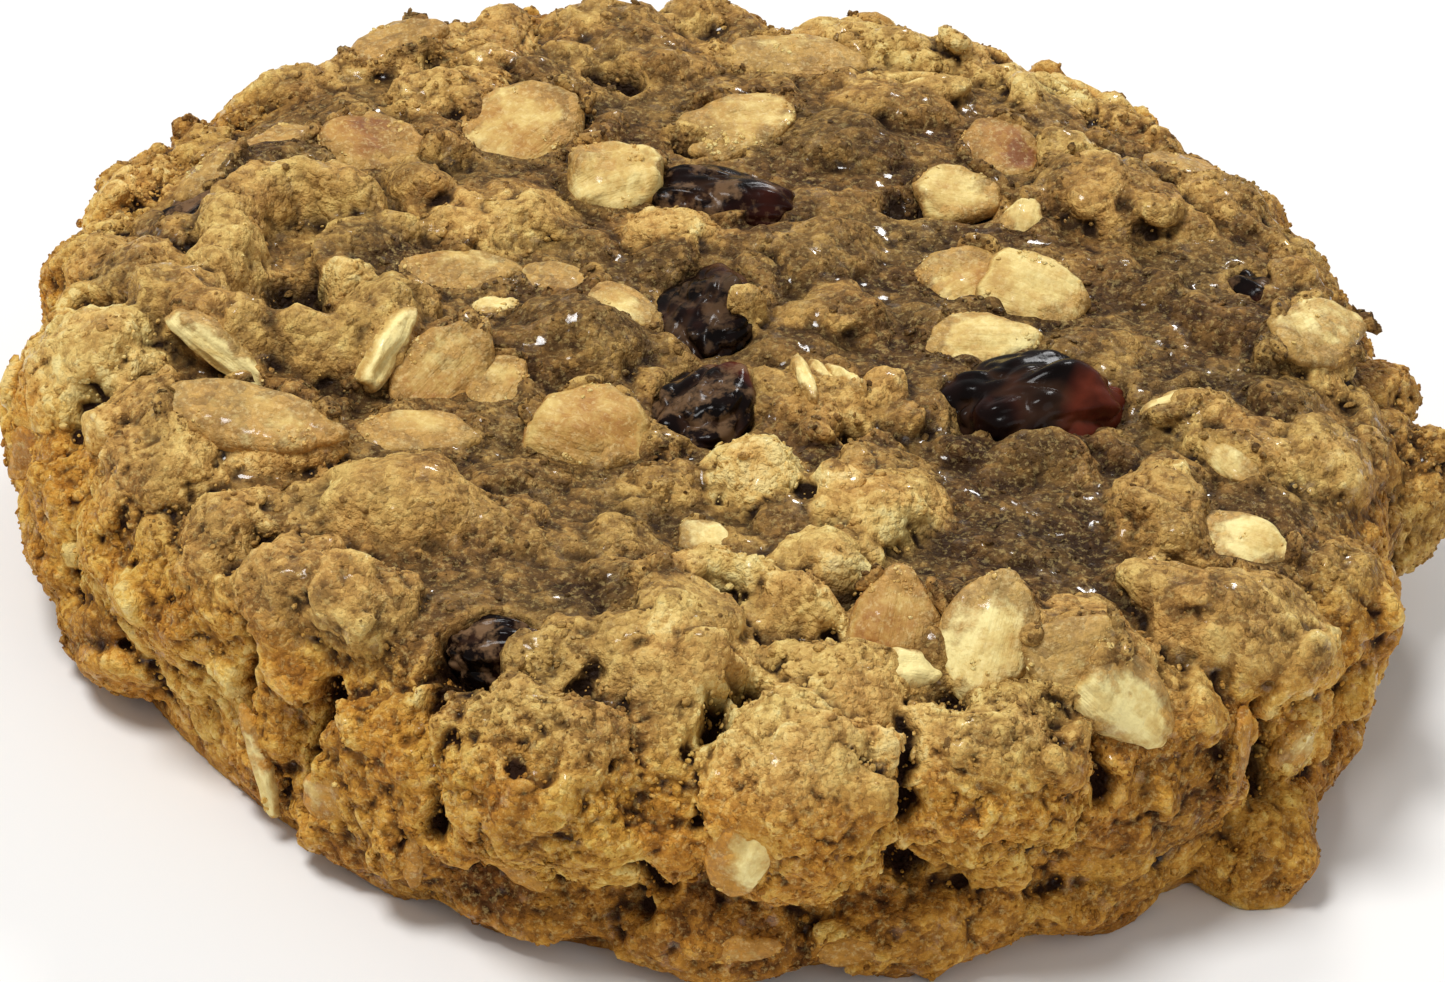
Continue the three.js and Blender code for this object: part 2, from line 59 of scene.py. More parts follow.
# ---- how lumps and flakes sit in the dough ----
LUMP_RELIEF = 1.35      # how far a lump stands out, to the rise that is listed for it
LUMP_ROOT = 1.15        # its least height, to how far it stands out
LUMP_ROUND = 0.42       # its height, to its shorter side
LUMP_SPREAD = 0.54      # its half width, to the width that is listed for it
SLAB_WEIGHT = 2.5       # how strongly a slab's own tone counts, against a lump's
BARE_WEIGHT = 0.05      # and how little the bare dough's does
SUNK = 0.18             # the share of a flake's thickness by which its middle is under the dough
FLAKE_LIFT = 0.36       # how much a leaning flake is lifted, to its width and the sine of its lean
BED_MARGIN = 0.3        # how far the dough under a flake reaches past it, mm
FAR_AWAY = 9.0          # stands for no flake or raisin near

# ---- relief carved into the fused dough: sizes and depths, mm ----
SWELL_SIZES = (7.0, 2.6)
SWELL_RISE = 0.3
CHUNK_SIZE = 4.2
CHUNK_STEP = 0.2
CHUNK_CREASE = 0.4
CRUMB_SIZE = 1.15
CRUMB_STEP = 0.08
CRUMB_CREASE = 0.1
RAISIN_MOAT = 0.5
FLAKE_LIP = 0.25
FINE_RELIEF = 0.18
PIT_DEPTH = 0.36
SOCKET_DEPTH = 2.4
DIMPLE_DEPTH = 0.18
CRUMB_START = (0.2, 2.2)        # heights between which relief and crumb begin
SIDE_COLOUR_HEIGHTS = (15, 20.5)    # and between which the side's colours give way to the crown's

# ---- fineness of the finished dough, mm, and the seeds of everything scattered ----
FIRST_VOXEL = 0.9
LAST_VOXEL = 0.3
DOUGH_TRIANGLES = 196000
GRAIN_SPOTS = 20000
LEAST_GRAIN = 0.22
GRAIN_SPREAD = 0.45
GRAIN_SEED = 11
FLAKE_SEED = 5

# ---- lumps on the crown: x, y, length, width, rise, turn; then tone, from dark dough at 0 to pale
# crumb at 1, and crumb, from smooth at 0 to crumbly at 1 ----
CROWN_LUMPS = [
    (-36, 32.6, 6.5, 6, 2.3, 0, 0.5, 0.28), (-42.3, 24.3, 7, 5, 1.6, 40, 0.55, 0.35),
    (-24, 30.5, 9, 7, 1.6, 20, 0.62, 0.63), (-36.5, 17.5, 11, 7, 1.4, 30, 0.2, 0.3),
    (-47.5, 6, 6, 7, 1.6, 0, 0.72, 0.56), (-44, 3, 7, 7, 2, 0, 0.62, 0.42),
    (-41.5, 7.5, 4, 4, 1.6, 0, 0.58, 0.35), (-47.5, -7, 11, 13, 2.8, 80, 0.84, 0.5),
    (-44.5, -8, 4.5, 4, 3, 0, 0.55, 0.35), (-39.5, -20.5, 9, 8, 2, 30, 0.55, 0.56),
    (-29, 3.5, 4.5, 4, 1.8, 0, 0.78, 0.35), (-28, 10, 8, 5, 1.2, 20, 0.62, 0.42),
    (-25.5, 17.5, 3.8, 3.5, 1.8, 0, 0.48, 0.14), (-18.7, 13.1, 9.8, 7.4, 1.6, 22, 0.66, 0.45),
    (-23.5, 22.5, 4.5, 4, 1.5, 0, 0.45, 0.21), (-33, -12, 8, 5, 1.4, -20, 0.36, 0.35),
    (-34, -17.5, 13, 7, 2, -8, 0.72, 0.49), (-42, -14, 7, 6, 1.8, 10, 0.64, 0.49),
    (-23.3, -24, 13, 9, 2.4, 10, 0.68, 0.14), (-29.5, -26, 7, 7, 1.2, 0, 0.42, 0.5),
    (-29.5, -32.3, 9, 8, 2.4, 0, 0.58, 0.5), (-24, -35, 7, 7, 2.2, 0, 0.56, 0.5),
    (-34.8, -27.5, 9, 8, 1.8, 40, 0.58, 0.56), (-15, -24.5, 8, 7, 1, 0, 0.38, 0.49),
    (-12, -1.5, 12, 10.5, 2.2, -8, 0.28, 0.1), (-15, -19.5, 9, 6, 0.9, 20, 0.3, 0.28),
    (5, 13.5, 10, 8, 1.5, 0, 0.42, 0.1), (-5.5, 13, 8, 6, 1.8, -20, 0.82, 0.56),
    (-5, -13.5, 5, 5, 1, 0, 0.6, 0.42), (-4.5, -18.5, 6, 5, 1.1, 20, 0.62, 0.42),
    (2, -17.2, 7.6, 7, 2.6, 0, 0.95, 0.6), (10.5, -20, 10, 8, 2.1, 25, 0.8, 0.4),
    (6.8, -27.8, 7, 6.6, 2.6, 0, 0.7, 0.3), (6.3, -7, 8.5, 7, 1.5, -30, 0.66, 0.5),
    (5.8, -18, 5, 4, 1.3, 0, 0.62, 0.4), (19, -22.5, 17, 10, 0.3, -8, 0.06, 0.15),
    (7.5, 4.5, 10, 8, 1, 30, 0.44, 0.17), (13, -7, 8, 7, 1, 0, 0.4, 0.3),
    (-5, 47, 10, 6, 2, 5, 0.42, 0.42), (-13.5, 44.5, 9, 6, 1.8, 0, 0.44, 0.42),
    (6.5, 46, 9, 5, 1.7, 0, 0.62, 0.42), (7, 29, 12, 9, 1.2, -10, 0.27, 0.07),
    (26.5, 24, 12, 9, 1.9, -30, 0.6, 0.39), (36, 26, 9, 7, 1.6, -40, 0.5, 0.42),
    (41.2, 21.4, 8, 6, 1.8, -60, 0.5, 0.42), (11, 35, 9, 6, 1.2, -10, 0.45, 0.28),
    (-8, 38, 8, 6, 1, 10, 0.3, 0.21), (34, -5, 7, 5, 1.8, -10, 0.74, 0.49),
    (42, -8.5, 6, 6, 1.8, 0, 0.6, 0.35), (37, -9, 9, 5, 1.6, -15, 0.66, 0.42),
    (30.5, -17.5, 7, 9, 1.9, 10, 0.64, 0.45), (35, 9, 13, 8, 1, -30, 0.27, 0.21),
    (42.5, 5, 5, 9, 1.6, 0, 0.74, 0.49), (25.5, 3.5, 8, 5, 0.9, 0, 0.3, 0.14),
    (41, 14, 6, 6, 1.2, 0, 0.45, 0.35), (36.5, -28, 14, 9, 2.6, 20, 0.6, 0.3),
    (31.5, -27, 6, 4, 2.2, -20, 0.62, 0.3), (25, -34.5, 11, 9, 2.6, -5, 0.64, 0.45),
    (17, -34, 9, 8, 1, 0, 0.46, 0.28), (-3, -38.5, 12, 10, 2.4, 20, 0.62, 0.5),
    (-9.5, -38.3, 5.5, 5, 1.4, 0, 0.46, 0.21), (9, -39, 9, 6, 1.6, 0, 0.62, 0.5),
    (-0.4, 3.2, 4.4, 3.6, 2.1, 20, 0.62, 0.3),
]

# ---- ridges, each a row of lumps along a curve ----
CROWN_RIDGES = [
    dict(points=[(-39.5, -2), (-38, 3.5), (-38.4, 9), (-35, 13.8), (-29, 13.5)], width=5,
         rise=2.7, tone=0.64, crumb=0.2),
    dict(points=[(-42, -2.5), (-37, -6), (-31, -6.5), (-26, -5.5), (-25.5, -1)], width=6.2, rise=3.2,
         tone=0.56, crumb=0.1),
    dict(points=[(-33, 34.5), (-28, 36.5), (-21, 39)], width=5.5, rise=1.6, tone=0.6, crumb=0.6),
    dict(points=[(10, 44.5), (18, 43), (26, 39.5)], width=6.5, rise=1.6, tone=0.64, crumb=0.6),
    dict(points=[(-4.5, -31.8), (1, -30), (6.5, -33.5)], width=3.6, rise=2.2, tone=0.82, crumb=0.5),
]

# ---- lumps on the side: azimuth, height, width, tall, rise, turn, tone, crumb ----
SIDE_LUMPS = [
    (186, 13.5, 13, 12, 2.4, 0, 0.76, 0.7), (197, 9.5, 13, 13, 3, 0, 0.54, 0.7),
    (208, 13, 11, 11, 2.6, 0, 0.54, 0.7), (217, 13, 15, 12, 2.2, 20, 0.54, 0.7),
    (229, 8, 5, 12, 1.2, -10, 0.4, 0.5), (243, 9.5, 13, 15, 2.6, 0, 0.48, 0.6),
    (257, 14, 15, 13, 3.6, 10, 0.46, 0.8), (267.5, 12, 5, 11, 1.4, 0, 0.48, 0.6),
    (278, 15, 15, 13, 3.8, -5, 0.58, 0.7), (295, 15.5, 14, 11, 3.2, 5, 0.54, 0.8),
    (311, 12, 14, 13, 2.2, 0, 0.32, 0.5), (328, 10, 5, 8, 1.4, 0, 0.64, 0.5),
    (337, 14, 12, 11, 2, 0, 0.48, 0.5), (204, 4.5, 14, 8, 2.6, 0, 0.36, 0.6),
    (255, 3.5, 15, 7, 1.4, 0, 0.24, 0.4), (272, 3, 13, 6, 2.2, 0, 0.26, 0.4),
    (290, 3.5, 16, 7, 1.7, 0, 0.38, 0.5), (306, 3, 11, 6, 1.6, 0, 0.42, 0.5),
    (322, 3.2, 10, 9, 4.4, 0, 0.4, 0.5), (334, 3.5, 13, 7, 1.2, 0, 0.44, 0.5),
    (240, 3.6, 13, 7, 1.6, 0, 0.36, 0.5), (188, 4.5, 13, 8, 1.8, 0, 0.38, 0.6),
    (5.5, 9, 13, 12, 5, 0, 0.48, 0.7), (11, 14.3, 6, 5, 3.4, 0, 0.6, 0.6),
]
HIDDEN_FROM = 24
HIDDEN_TO = 176
HIDDEN_ROWS = [(4.5, 13), (13.5, 14.5)]     # height and step in azimuth

# ---- cracks and hollows: points, width and depth ----
CROWN_CRACKS = [
    ([(-48, 0.5), (-44.5, -3)], 1.3, 2.8), ([(-36.5, -11.5), (-33, -12.2)], 1, 2),
    ([(-32.5, 1)], 2.8, 3.6), ([(-17, -38.6), (-17.8, -41)], 2.1, 4.2),
    ([(8, -31.5), (11, -30.5)], 1.3, 2.6), ([(8.5, -10.3)], 1.1, 2.2),
    ([(30.5, -24), (35, -22.5)], 1, 2.6), ([(11, 21), (17, 21.5)], 1.8, 1.8),
    ([(-31.5, -29)], 1.2, 2.2), ([(16.5, -40)], 1.3, 2.2), ([(24.5, 27.5)], 1.3, 2),
    ([(2.5, -41.5)], 1.5, 3), ([(-42, 0.2), (-40.5, 1)], 1, 2.2),
    ([(-44.8, -19), (-42.5, -18.5)], 0.8, 2), ([(9, 38.5), (13, 38)], 0.9, 1.4),
    ([(-13, 36), (-10, 35)], 1.3, 2), ([(-6, 27), (-2, 26.6)], 0.8, 1.6),
]
SIDE_CRACKS = [
    ([(235.5, 14), (235, 5)], 1.3, 2.8), ([(249.5, 19), (249.5, 9)], 1.4, 3.2),
    ([(285, 12), (288, 8.5)], 1.2, 2.4), ([(286.5, 19), (286.5, 14)], 1.2, 2.2),
    ([(322, 15), (322, 8)], 1.6, 2.6), ([(349, 14), (351, 7)], 1, 1.4),
    ([(227, 17), (227.5, 6)], 0.9, 2), ([(265, 10.5), (268, 8)], 1, 2.2),
    ([(270.5, 20), (270, 13)], 0.9, 2.4), ([(303, 17), (304, 13)], 1.1, 2.2),
]

# ---- oat flakes on the crown: x, y, length, width, thick, lean to the front, lean to the right,
# turn; then toast, from cream at 0 to toasted at 1, and how much dough lies on it as a film ----
CROWN_FLAKES = [
    (-17.7, 27, 11, 8.4, 2.4, 16, 0, 50, 0.55, 0.2),
    (-10.6, 20.5, 7.8, 7.4, 4.6, 28, 0, 25, 0.26, 0.05),
    (-1.8, 30.4, 10.4, 7, 1.8, 8, 0, 31, 0.45, 0.4), (2.4, 41, 12, 6, 1.6, 10, 0, 4, 0.45, 0.7),
    (15.4, 23, 7.2, 5.3, 2.2, 20, 0, -4, 0.38, 0.15), (20.4, 20.2, 4, 3.3, 1.8, 20, 0, 80, 0.1, 0),
    (18.6, 29.5, 7.3, 5.9, 1.8, 15, 0, -53, 0.95, 0.3),
    (21.3, 10, 8.4, 7, 2.4, 26, 0, -20, 0.32, 0.05), (16, 11.8, 7.2, 6.3, 2, 12, 0, 42, 0.5, 0.35),
    (17.4, 3.3, 8.8, 5.6, 2, 14, 0, 8, 0.22, 0.1), (41.7, 6.1, 10, 6.1, 1.6, 10, 20, 51, 0.2, 0.5),
    (31.6, -3.9, 5.6, 3.8, 1.3, 0, 0, 1, 0.15, 0.3),
    (35.6, -10.6, 5.5, 3.2, 1.3, 0, 0, -54, 0.3, 0.5),
    (36.3, -19, 7.4, 5, 1.6, 15, 0, -8, 0.15, 0.2),
    (12.3, -34.1, 8.6, 7, 2.2, 38, 0, 83, 0.68, 0.25),
    (18.7, -35.1, 8.8, 7.4, 2.2, 34, 0, 76, 0.08, 0.25),
    (27.8, -36.8, 9.4, 5.6, 2.6, 8, 0, -8, 0.14, 0.1),
    (13.4, -38.2, 4.6, 3.2, 1.4, 20, 0, 20, -0.2, 0),
    (-10.1, -13.6, 9.2, 8.2, 5, 24, 0, -17, 0.62, 0), (-21.4, -7.3, 9, 6.4, 2, 32, 0, 60, 0.5, 0.2),
    (-17.2, -7.9, 6.2, 4.2, 1.4, 18, 0, 65, 0.45, 0.4),
    (-22.2, -14.8, 8.8, 5, 1.8, 8, 0, 1, 0.45, 0.5), (-25.3, -8, 7.4, 2.5, 2, 10, 25, 84, 0.1, 0),
    (-37, -9, 9.4, 2.7, 2, 34, -8, -38, 0.06, 0),
    (-33.9, -18.2, 13.4, 5.4, 1.6, 12, 0, -13, 0.4, 0.6),
    (-21.1, 6.6, 8.8, 5.1, 1.5, 8, 0, 12, 0.45, 0.6), (-13.9, 6.9, 5.5, 4, 1.4, 5, 0, 0, 0.45, 0.8),
    (-8.9, 3.6, 6.5, 4.4, 1.5, 10, 0, -28, 0.35, 0.5),
    (-18.2, 2.5, 3.7, 2.4, 1.2, 0, 0, 12, 0.05, 0.1),
    (-29, 22.4, 8.7, 7.2, 3.2, 10, 0, 0, 0.95, 0.35),
    (-36.3, 22.1, 6.3, 4.2, 1.4, 10, 0, 41, 0.7, 0.7),
    (-40.7, 16.6, 6.6, 3.6, 1.4, 10, 0, 48, 0.85, 1), (4.7, -5.9, 6, 1.5, 2, 0, 0, -73, 0.05, 0),
    (7.6, -5.2, 5.6, 1.4, 2, 0, 0, -58, 0.05, 0), (6.2, -4.4, 5, 1.2, 1.8, 0, 0, -64, 0.05, 0),
    (-1.3, -24.7, 4.2, 3.6, 1.5, 15, 0, -15, 0.05, 0.1),
    (-28, 36.4, 8, 5, 1.5, 14, 0, 25, 0.5, 0.85), (33, 30, 8, 6, 1.5, 12, 0, -40, 0.5, 0.85),
    (24, -36, 7, 5, 1.5, 20, 0, 30, 0.4, 0.7),
]

# ---- oat flakes on the side: azimuth, height, length, width, thick, lean up, lean along, turn,
# toast, film ----
SIDE_FLAKES = [
    (229.4, 6.6, 9, 1.7, 1.2, 0, 0, -70, 0.15, 0.1), (238, 7.6, 4.6, 4, 1.4, 0, 20, 70, 0.5, 0.5),
    (255.5, 7.5, 6, 3, 1.3, -12, 0, -50, 0.5, 0.9),
    (273.5, 13.2, 7.5, 4.6, 2, -5, 0, 75, 0.22, 0.35),
    (317, 13, 6.5, 3.2, 1.3, 0, 20, 60, 0.6, 0.8), (190, 12, 6.5, 3, 1.3, 0, 20, 78, 0.4, 0.8),
    (283, 3.5, 5, 3.2, 1.3, -10, 0, 10, 0.5, 0.9), (326, 9.5, 5, 4.6, 1.6, 0, 10, 60, 0.2, 0.5),
    (247, 6, 5, 1.6, 1, 0, 20, 88, 0.4, 0.8), (274.5, 4, 5, 2.4, 1, 0, 0, 10, 0.4, 0.7),
]
HIDDEN_FLAKES = 15

# ---- relief of each flake, as shares of its thickness unless said otherwise ----
FLAKE_FACE = 0.44       # half thickness of its flat faces
FLAKE_CREASE = 0.1
FLAKE_EDGE_SWELL = 0.06
FLAKE_FIBRE = 0.08
FLAKE_BUMPS = 0.1
BEND_ALONG = 0.1
BEND_ACROSS = 0.24
BEND_RANDOM = 0.2
OUTLINE_BROAD = 0.2     # unevenness of its outline, as shares of its half length
OUTLINE_FINE = 0.06
EGG_SHAPE = 0.16        # how much narrower one end is

# ---- slabs of dough and buried flakes, one edge out, that pack the crown and the side ----
CROWN_SLABS = 300
SIDE_SLABS = 280
SLAB_SEED = 31
LIP_SEED = 17
SMOOTH_FIELDS = [(-12, -2, 6.5), (19, -22, 8), (-14, -30, 6), (-17, -35, 5), (33, 8, 5),
                 (7, 28, 5), (13, 21, 3.5), (5, 14, 5), (-24, -24, 6.5), (33, 17, 3),
                 (-37, 17.5, 6), (-8, 34, 3.5), (-33, -6, 7), (-40, -4, 5), (-36.5, 9, 5),
                 (-31, 3, 4), (-26.5, -4, 4), (-31.5, 14, 4), (2, -17.2, 5.5)]

# ---- broad places where the dough is paler or browner: x, y, or azimuth, height; radius, shift ----
CROWN_PATCHES = [
    (-10.6, 41, 8, 0.12), (5, 44, 8, 0.12), (-35.5, 2, 4.5, 0.1), (-26.8, 8, 4, -0.12),
    (-46, -2.6, 4, -0.12), (-45, -10.9, 5, 0.1), (-25, -10.4, 5, 0.08), (10.2, -13.8, 4.5, -0.16),
    (-6, -33.2, 5, -0.28), (-4.2, -16, 3.8, -0.22), (36, -2.4, 5, -0.24), (30, -27.5, 4.5, -0.2),
    (31.8, -33.4, 5, 0.22), (-34, -20.7, 5, 0.24), (-41, 11.5, 4, -0.22), (22.2, 38.4, 6, 0.16),
    (-32.5, 1, 3, -0.2), (-2, 42, 7, 0.1), (6.6, -45, 5, 0.2), (11.3, -44.3, 4, 0.1),
    (5.9, -31.6, 3.5, -0.12), (16, -29.8, 4, -0.14), (20.6, -29.2, 4, -0.1), (24.9, 26, 4, -0.22),
    (14.3, 24.3, 4, -0.14), (25, 16.2, 4, 0.14), (-31.9, 7.4, 4, 0.2), (-43.3, 16.9, 4.5, 0.18),
    (20.2, -12.1, 4.5, -0.2), (19.9, 5.8, 3.5, -0.18), (40.6, 9.4, 4, -0.2),
    (35.1, -18.4, 4, -0.14), (25.2, -20, 4.5, -0.14), (-45, 1.5, 4, -0.2), (14, 14, 16, -0.07),
    (16, 0, 6, -0.06),
]
SIDE_PATCHES = [
    (338, 10, 6, 0.12), (217, 6, 7, 0.24), (272, 17, 7, 0.1), (255, 17, 5, 0.1),
    (265, 2.5, 7, 0.12), (298, 1.5, 6, 0.12), (200, 8, 7, 0.12), (5, 9, 7, 0.16),
    (204, 13.5, 5, 0.18), (325, 11, 6, 0.18), (320, 2, 6, 0.14), (227, 10, 5, 0.12),
    (275, 12, 26, 0.05),
]

# ---- loose crumbs: piece, count, smallest and largest radius, flatness, subdivisions, seed ----
CRUMBS = [
    ("crumbs", 1200, 0.16, 0.42, 0.8, 2, 23), ("fine_crumbs", 9500, 0.09, 0.24, 0.8, 1, 24),
    ("flat_crumbs", 9500, 0.16, 0.5, 0.4, 1, 25), ("crumb_dust", 9500, 0.08, 0.18, 0.8, 1, 26),
]
FLAKE_CRUMBS = ("flake_crumbs", 4500, 0.08, 0.3, 0.5, 1, 27, 0.85)

# ---- raisins on the crown: place, size, rise above the bare crown, turn, the film of dough on them
# as dust, and how reddish their right end is ----
RAISIN_FOLDS = 3
FOLD_DEPTH = 0.1            # depths are shares of the raisin's half width
WRINKLE_DEPTH = 0.28
FINE_WRINKLE_DEPTH = 0.11
RAISINS = [
    dict(node="raisin_right", at=(21.5, -4.4), size=(12.8, 10.8, 8.4), rise=3.2, turn=22,
         dust=0, red=1),
    dict(node="raisin_middle_back", at=(-2.3, 4.4), size=(11.4, 7.4, 6.5), rise=2, turn=84,
         dust=0.3, red=0.3),
    dict(node="raisin_middle_front", at=(-1.9, -7.9), size=(10, 7.6, 6.5), rise=1.9, turn=80,
         dust=0.6, red=0.9),
    dict(node="raisin_back", at=(-2.4, 20.4), size=(13.2, 8, 7), rise=1.5, turn=-8,
         dust=0.6, red=0.2),
    dict(node="raisin_front", at=(-14.6, -36.8), size=(8, 5.6, 5.6), rise=0.15, turn=-8,
         dust=0.8, red=0.2),
    dict(node="raisin_left", at=(-41, 12.6), size=(7.8, 6.4, 5.6), rise=0.6, turn=40,
         dust=0.8, red=0),
    dict(node="raisin_rim", at=(38.6, 14.2), size=(7, 5.6, 5.6), rise=0.5, turn=-35,
         dust=0.5, red=0.5),
]

# ---- baked colours as they look on screen, 0 to 255, by tone or toast ----
CROWN_BAKE = [(0.0, (58, 37, 16)), (0.25, (106, 78, 43)), (0.45, (154, 117, 65)),
              (0.65, (202, 160, 92)), (0.85, (236, 200, 124)), (1.0, (250, 226, 158))]
SIDE_BAKE = [(0.0, (62, 33, 8)), (0.25, (120, 77, 30)), (0.45, (168, 114, 43)),
             (0.65, (208, 150, 61)), (0.85, (234, 188, 96)), (1.0, (248, 216, 138))]
OAT_BAKE = [(0.0, (250, 231, 160)), (0.15, (234, 208, 134)), (0.35, (214, 180, 106)),
            (0.6, (190, 144, 76)), (0.8, (164, 112, 56)), (1.0, (134, 84, 48))]

DOUGH_GRAIN_SIZE = 0.38     # mm
OAT_GRAIN_SIZE = 0.6
SPECK_COLOUR = (246, 216, 140)
OAT_SPECK_COLOUR = (246, 224, 160)
# painted shade: the dark browns mixed into the dough's cracks and hollows
CROWN_SHADE_COLOUR = (36, 20, 6)
SIDE_SHADE_COLOUR = (42, 19, 3)
RAISIN_STAIN_COLOUR = (52, 34, 25)
RAISIN_SKIN = [(0.4, (10, 5, 4)), (0.6, (22, 10, 8)), (0.75, (48, 23, 16))]
RAISIN_RED = (98, 41, 26)
RAISIN_CREASE_COLOUR = (84, 56, 38)
RAISIN_DUST_COLOUR = (128, 98, 70)
FLOOR_COLOUR = (240, 239, 237)

# ---- camera, in the same millimetres ----
CAMERA_TARGET = (-0.4, -2.3, 9.0)
CAMERA_ELEVATION = 35
CAMERA_DISTANCE = 500
CAMERA_ROLL = 5
CAMERA_LENS = 169.4
SENSOR_WIDTH = 36

# ---- studio: each light's place and width in metres and its watts ----
LIGHTS = [
    ("key", (-0.3, -0.1, 0.8), 0.3, 5.4),
    ("back", (0.15, 0.62, 0.47), 0.16, 1.7),
    ("fill", (0.5, -0.6, 0.35), 0.5, 0.7),
]
LIT_POINT = (0, 0, 0.01)
SKY_STRENGTH = 0.38
FLOOR_HALF_WIDTH = 1.5


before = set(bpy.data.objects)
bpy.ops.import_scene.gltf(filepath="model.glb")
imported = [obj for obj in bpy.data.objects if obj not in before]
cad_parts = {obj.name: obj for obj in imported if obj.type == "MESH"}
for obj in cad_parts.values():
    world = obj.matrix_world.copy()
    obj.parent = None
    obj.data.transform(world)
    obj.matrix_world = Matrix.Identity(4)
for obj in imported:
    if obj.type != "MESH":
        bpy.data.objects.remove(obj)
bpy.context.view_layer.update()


# ---- the bare body ----
def footprint_radius(azimuth):
    """The bare body's widest radius at an azimuth or an array of them, in radians."""
    radii = np.array(RADII, float)
    count = len(RADII)
    place = (azimuth / math.tau * count) % count
    index = np.floor(place).astype(int)
    f = place - index
    a, b, c, d = (radii[(index + k) % count] for k in (-1, 0, 1, 2))
    cubic = (3 * b - a - 3 * c + d) * f ** 3
    return 0.5 * (2 * b + (c - a) * f + (2 * a - 5 * b + 4 * c - d) * f ** 2 + cubic)


def bare_body(points):
    """Rough distance of an array of points from the bare body, below 0 inside it."""
    x, y, z = points.T
    rim = footprint_radius(np.arctan2(y, x)) - CORE_RADIUS
    out = np.maximum(np.hypot(x, y) - CORE_RADIUS, 0) / rim
    above = z > WIDEST_HEIGHT
    up = np.abs(z - WIDEST_HEIGHT) / np.where(above, CROWN_HEIGHT - WIDEST_HEIGHT, UNDER_DEPTH)
    return ((out ** EDGE_POWER + up ** EDGE_POWER) ** (1 / EDGE_POWER) - 1) * rim


def outward(points):
    """Unit normals of the bare body at an array of points."""
    step = 0.4
    slope = np.stack([bare_body(points + step * e) - bare_body(points - step * e)
                      for e in np.eye(3)], axis=1)
    return slope / np.maximum(np.linalg.norm(slope, axis=1, keepdims=True), 1e-9)


def fall_off(share):
    """How far along the rounded edge the other axis has got, from 1 to 0."""
    return max(1 - min(share, 1) ** EDGE_POWER, 0) ** (1 / EDGE_POWER)


def crown_point(x, y):
    rim = float(footprint_radius(math.atan2(y, x))) - CORE_RADIUS
    out = max(math.hypot(x, y) - CORE_RADIUS, 0) / rim
    return Vector((x, y, WIDEST_HEIGHT + (CROWN_HEIGHT - WIDEST_HEIGHT) * fall_off(out)))


def side_point(azimuth, height):
    angle = math.radians(azimuth)
    rim = float(footprint_radius(angle)) - CORE_RADIUS
    depth = CROWN_HEIGHT - WIDEST_HEIGHT if height > WIDEST_HEIGHT else UNDER_DEPTH
    radius = CORE_RADIUS + rim * fall_off(abs(height - WIDEST_HEIGHT) / depth)
    return Vector((radius * math.cos(angle), radius * math.sin(angle), height))


def seat(point, level):
    """A matrix whose Z points out of the bare body and whose X is level with the given axis."""
    out = Vector(outward(np.array([point]))[0])
    side = Vector(level).cross(out).normalized()
    basis = Matrix((side, out.cross(side), out)).transposed().to_4x4()
    return Matrix.Translation(point) @ basis


def crown_seat(x, y):
    return seat(crown_point(x, y), (0, 1, 0))


def side_seat(azimuth, height):
    return seat(side_point(azimuth, height), (0, 0, 1))


def turned(place, turn, sink):
    return place @ Matrix.Translation((0, 0, -sink)) @ Matrix.Rotation(math.radians(turn), 4, "Z")


# ---- mesh helpers ----
def link_mesh(name, mesh):
    piece = bpy.data.objects.new(name, mesh)
    bpy.context.scene.collection.objects.link(piece)
    return piece


def from_bmesh(name, bm):
    mesh = bpy.data.meshes.new(name)
    bm.to_mesh(mesh)
    bm.free()
    return link_mesh(name, mesh)


def unit_ball(subdivisions):
    """The vertices and triangles of a ball of radius 1."""
    bm = bmesh.new()
    bmesh.ops.create_icosphere(bm, subdivisions=subdivisions, radius=1)
    points = np.array([vert.co[:] for vert in bm.verts])
    corners = np.array([[vert.index for vert in face.verts] for face in bm.faces])
    bm.free()
    return points, corners


def joined_balls(name, ball, shapes, uneven):
    """One mesh of many copies of a ball, each with its 4 by 4 matrix and its points' own reach."""
    points, corners = ball
    count, size = len(shapes), len(points)
    moved = np.einsum("kij,kvj->kvi", shapes[:, :3, :3], points * uneven[:, :, None])
    moved += shapes[:, None, :3, 3]
    faces = corners[None] + (np.arange(count) * size)[:, None, None]
    mesh = bpy.data.meshes.new(name)
    mesh.vertices.add(count * size)
    mesh.loops.add(faces.size)
    mesh.polygons.add(faces.size // 3)
    mesh.loops.foreach_set("vertex_index", faces.ravel().astype(np.int32))
    mesh.polygons.foreach_set("loop_start", np.arange(0, faces.size, 3, dtype=np.int32))
    move_to(mesh, moved.reshape(-1, 3))
    mesh.update(calc_edges=True)
    return mesh


def uneven_balls(name, ball, shapes, variety, size, depth):
    """Copies of a ball, each lumpy in its own way by noise whose bumps are size wide."""
    spread = ball[0][None] * variety + shapes[:, None, :3, 3]
    wobble = fractal(spread.reshape(-1, 3), size, 2).reshape(spread.shape[:2])
    return joined_balls(name, ball, shapes, 1 + depth * wobble)


def settle(piece):
    """Applies the piece's modifiers to its mesh."""
    graph = bpy.context.evaluated_depsgraph_get()
    finished = bpy.data.meshes.new_from_object(piece.evaluated_get(graph))
    piece.modifiers.clear()
    piece.data = finished


def fuse(piece, voxel, smoothing):
    """Makes one closed skin of everything in the piece."""
    remesh = piece.modifiers.new("fuse", "REMESH")
    remesh.mode = "VOXEL"
    remesh.voxel_size = voxel
    soften = piece.modifiers.new("soften", "SMOOTH")
    soften.factor = 0.5
    soften.iterations = smoothing
    settle(piece)


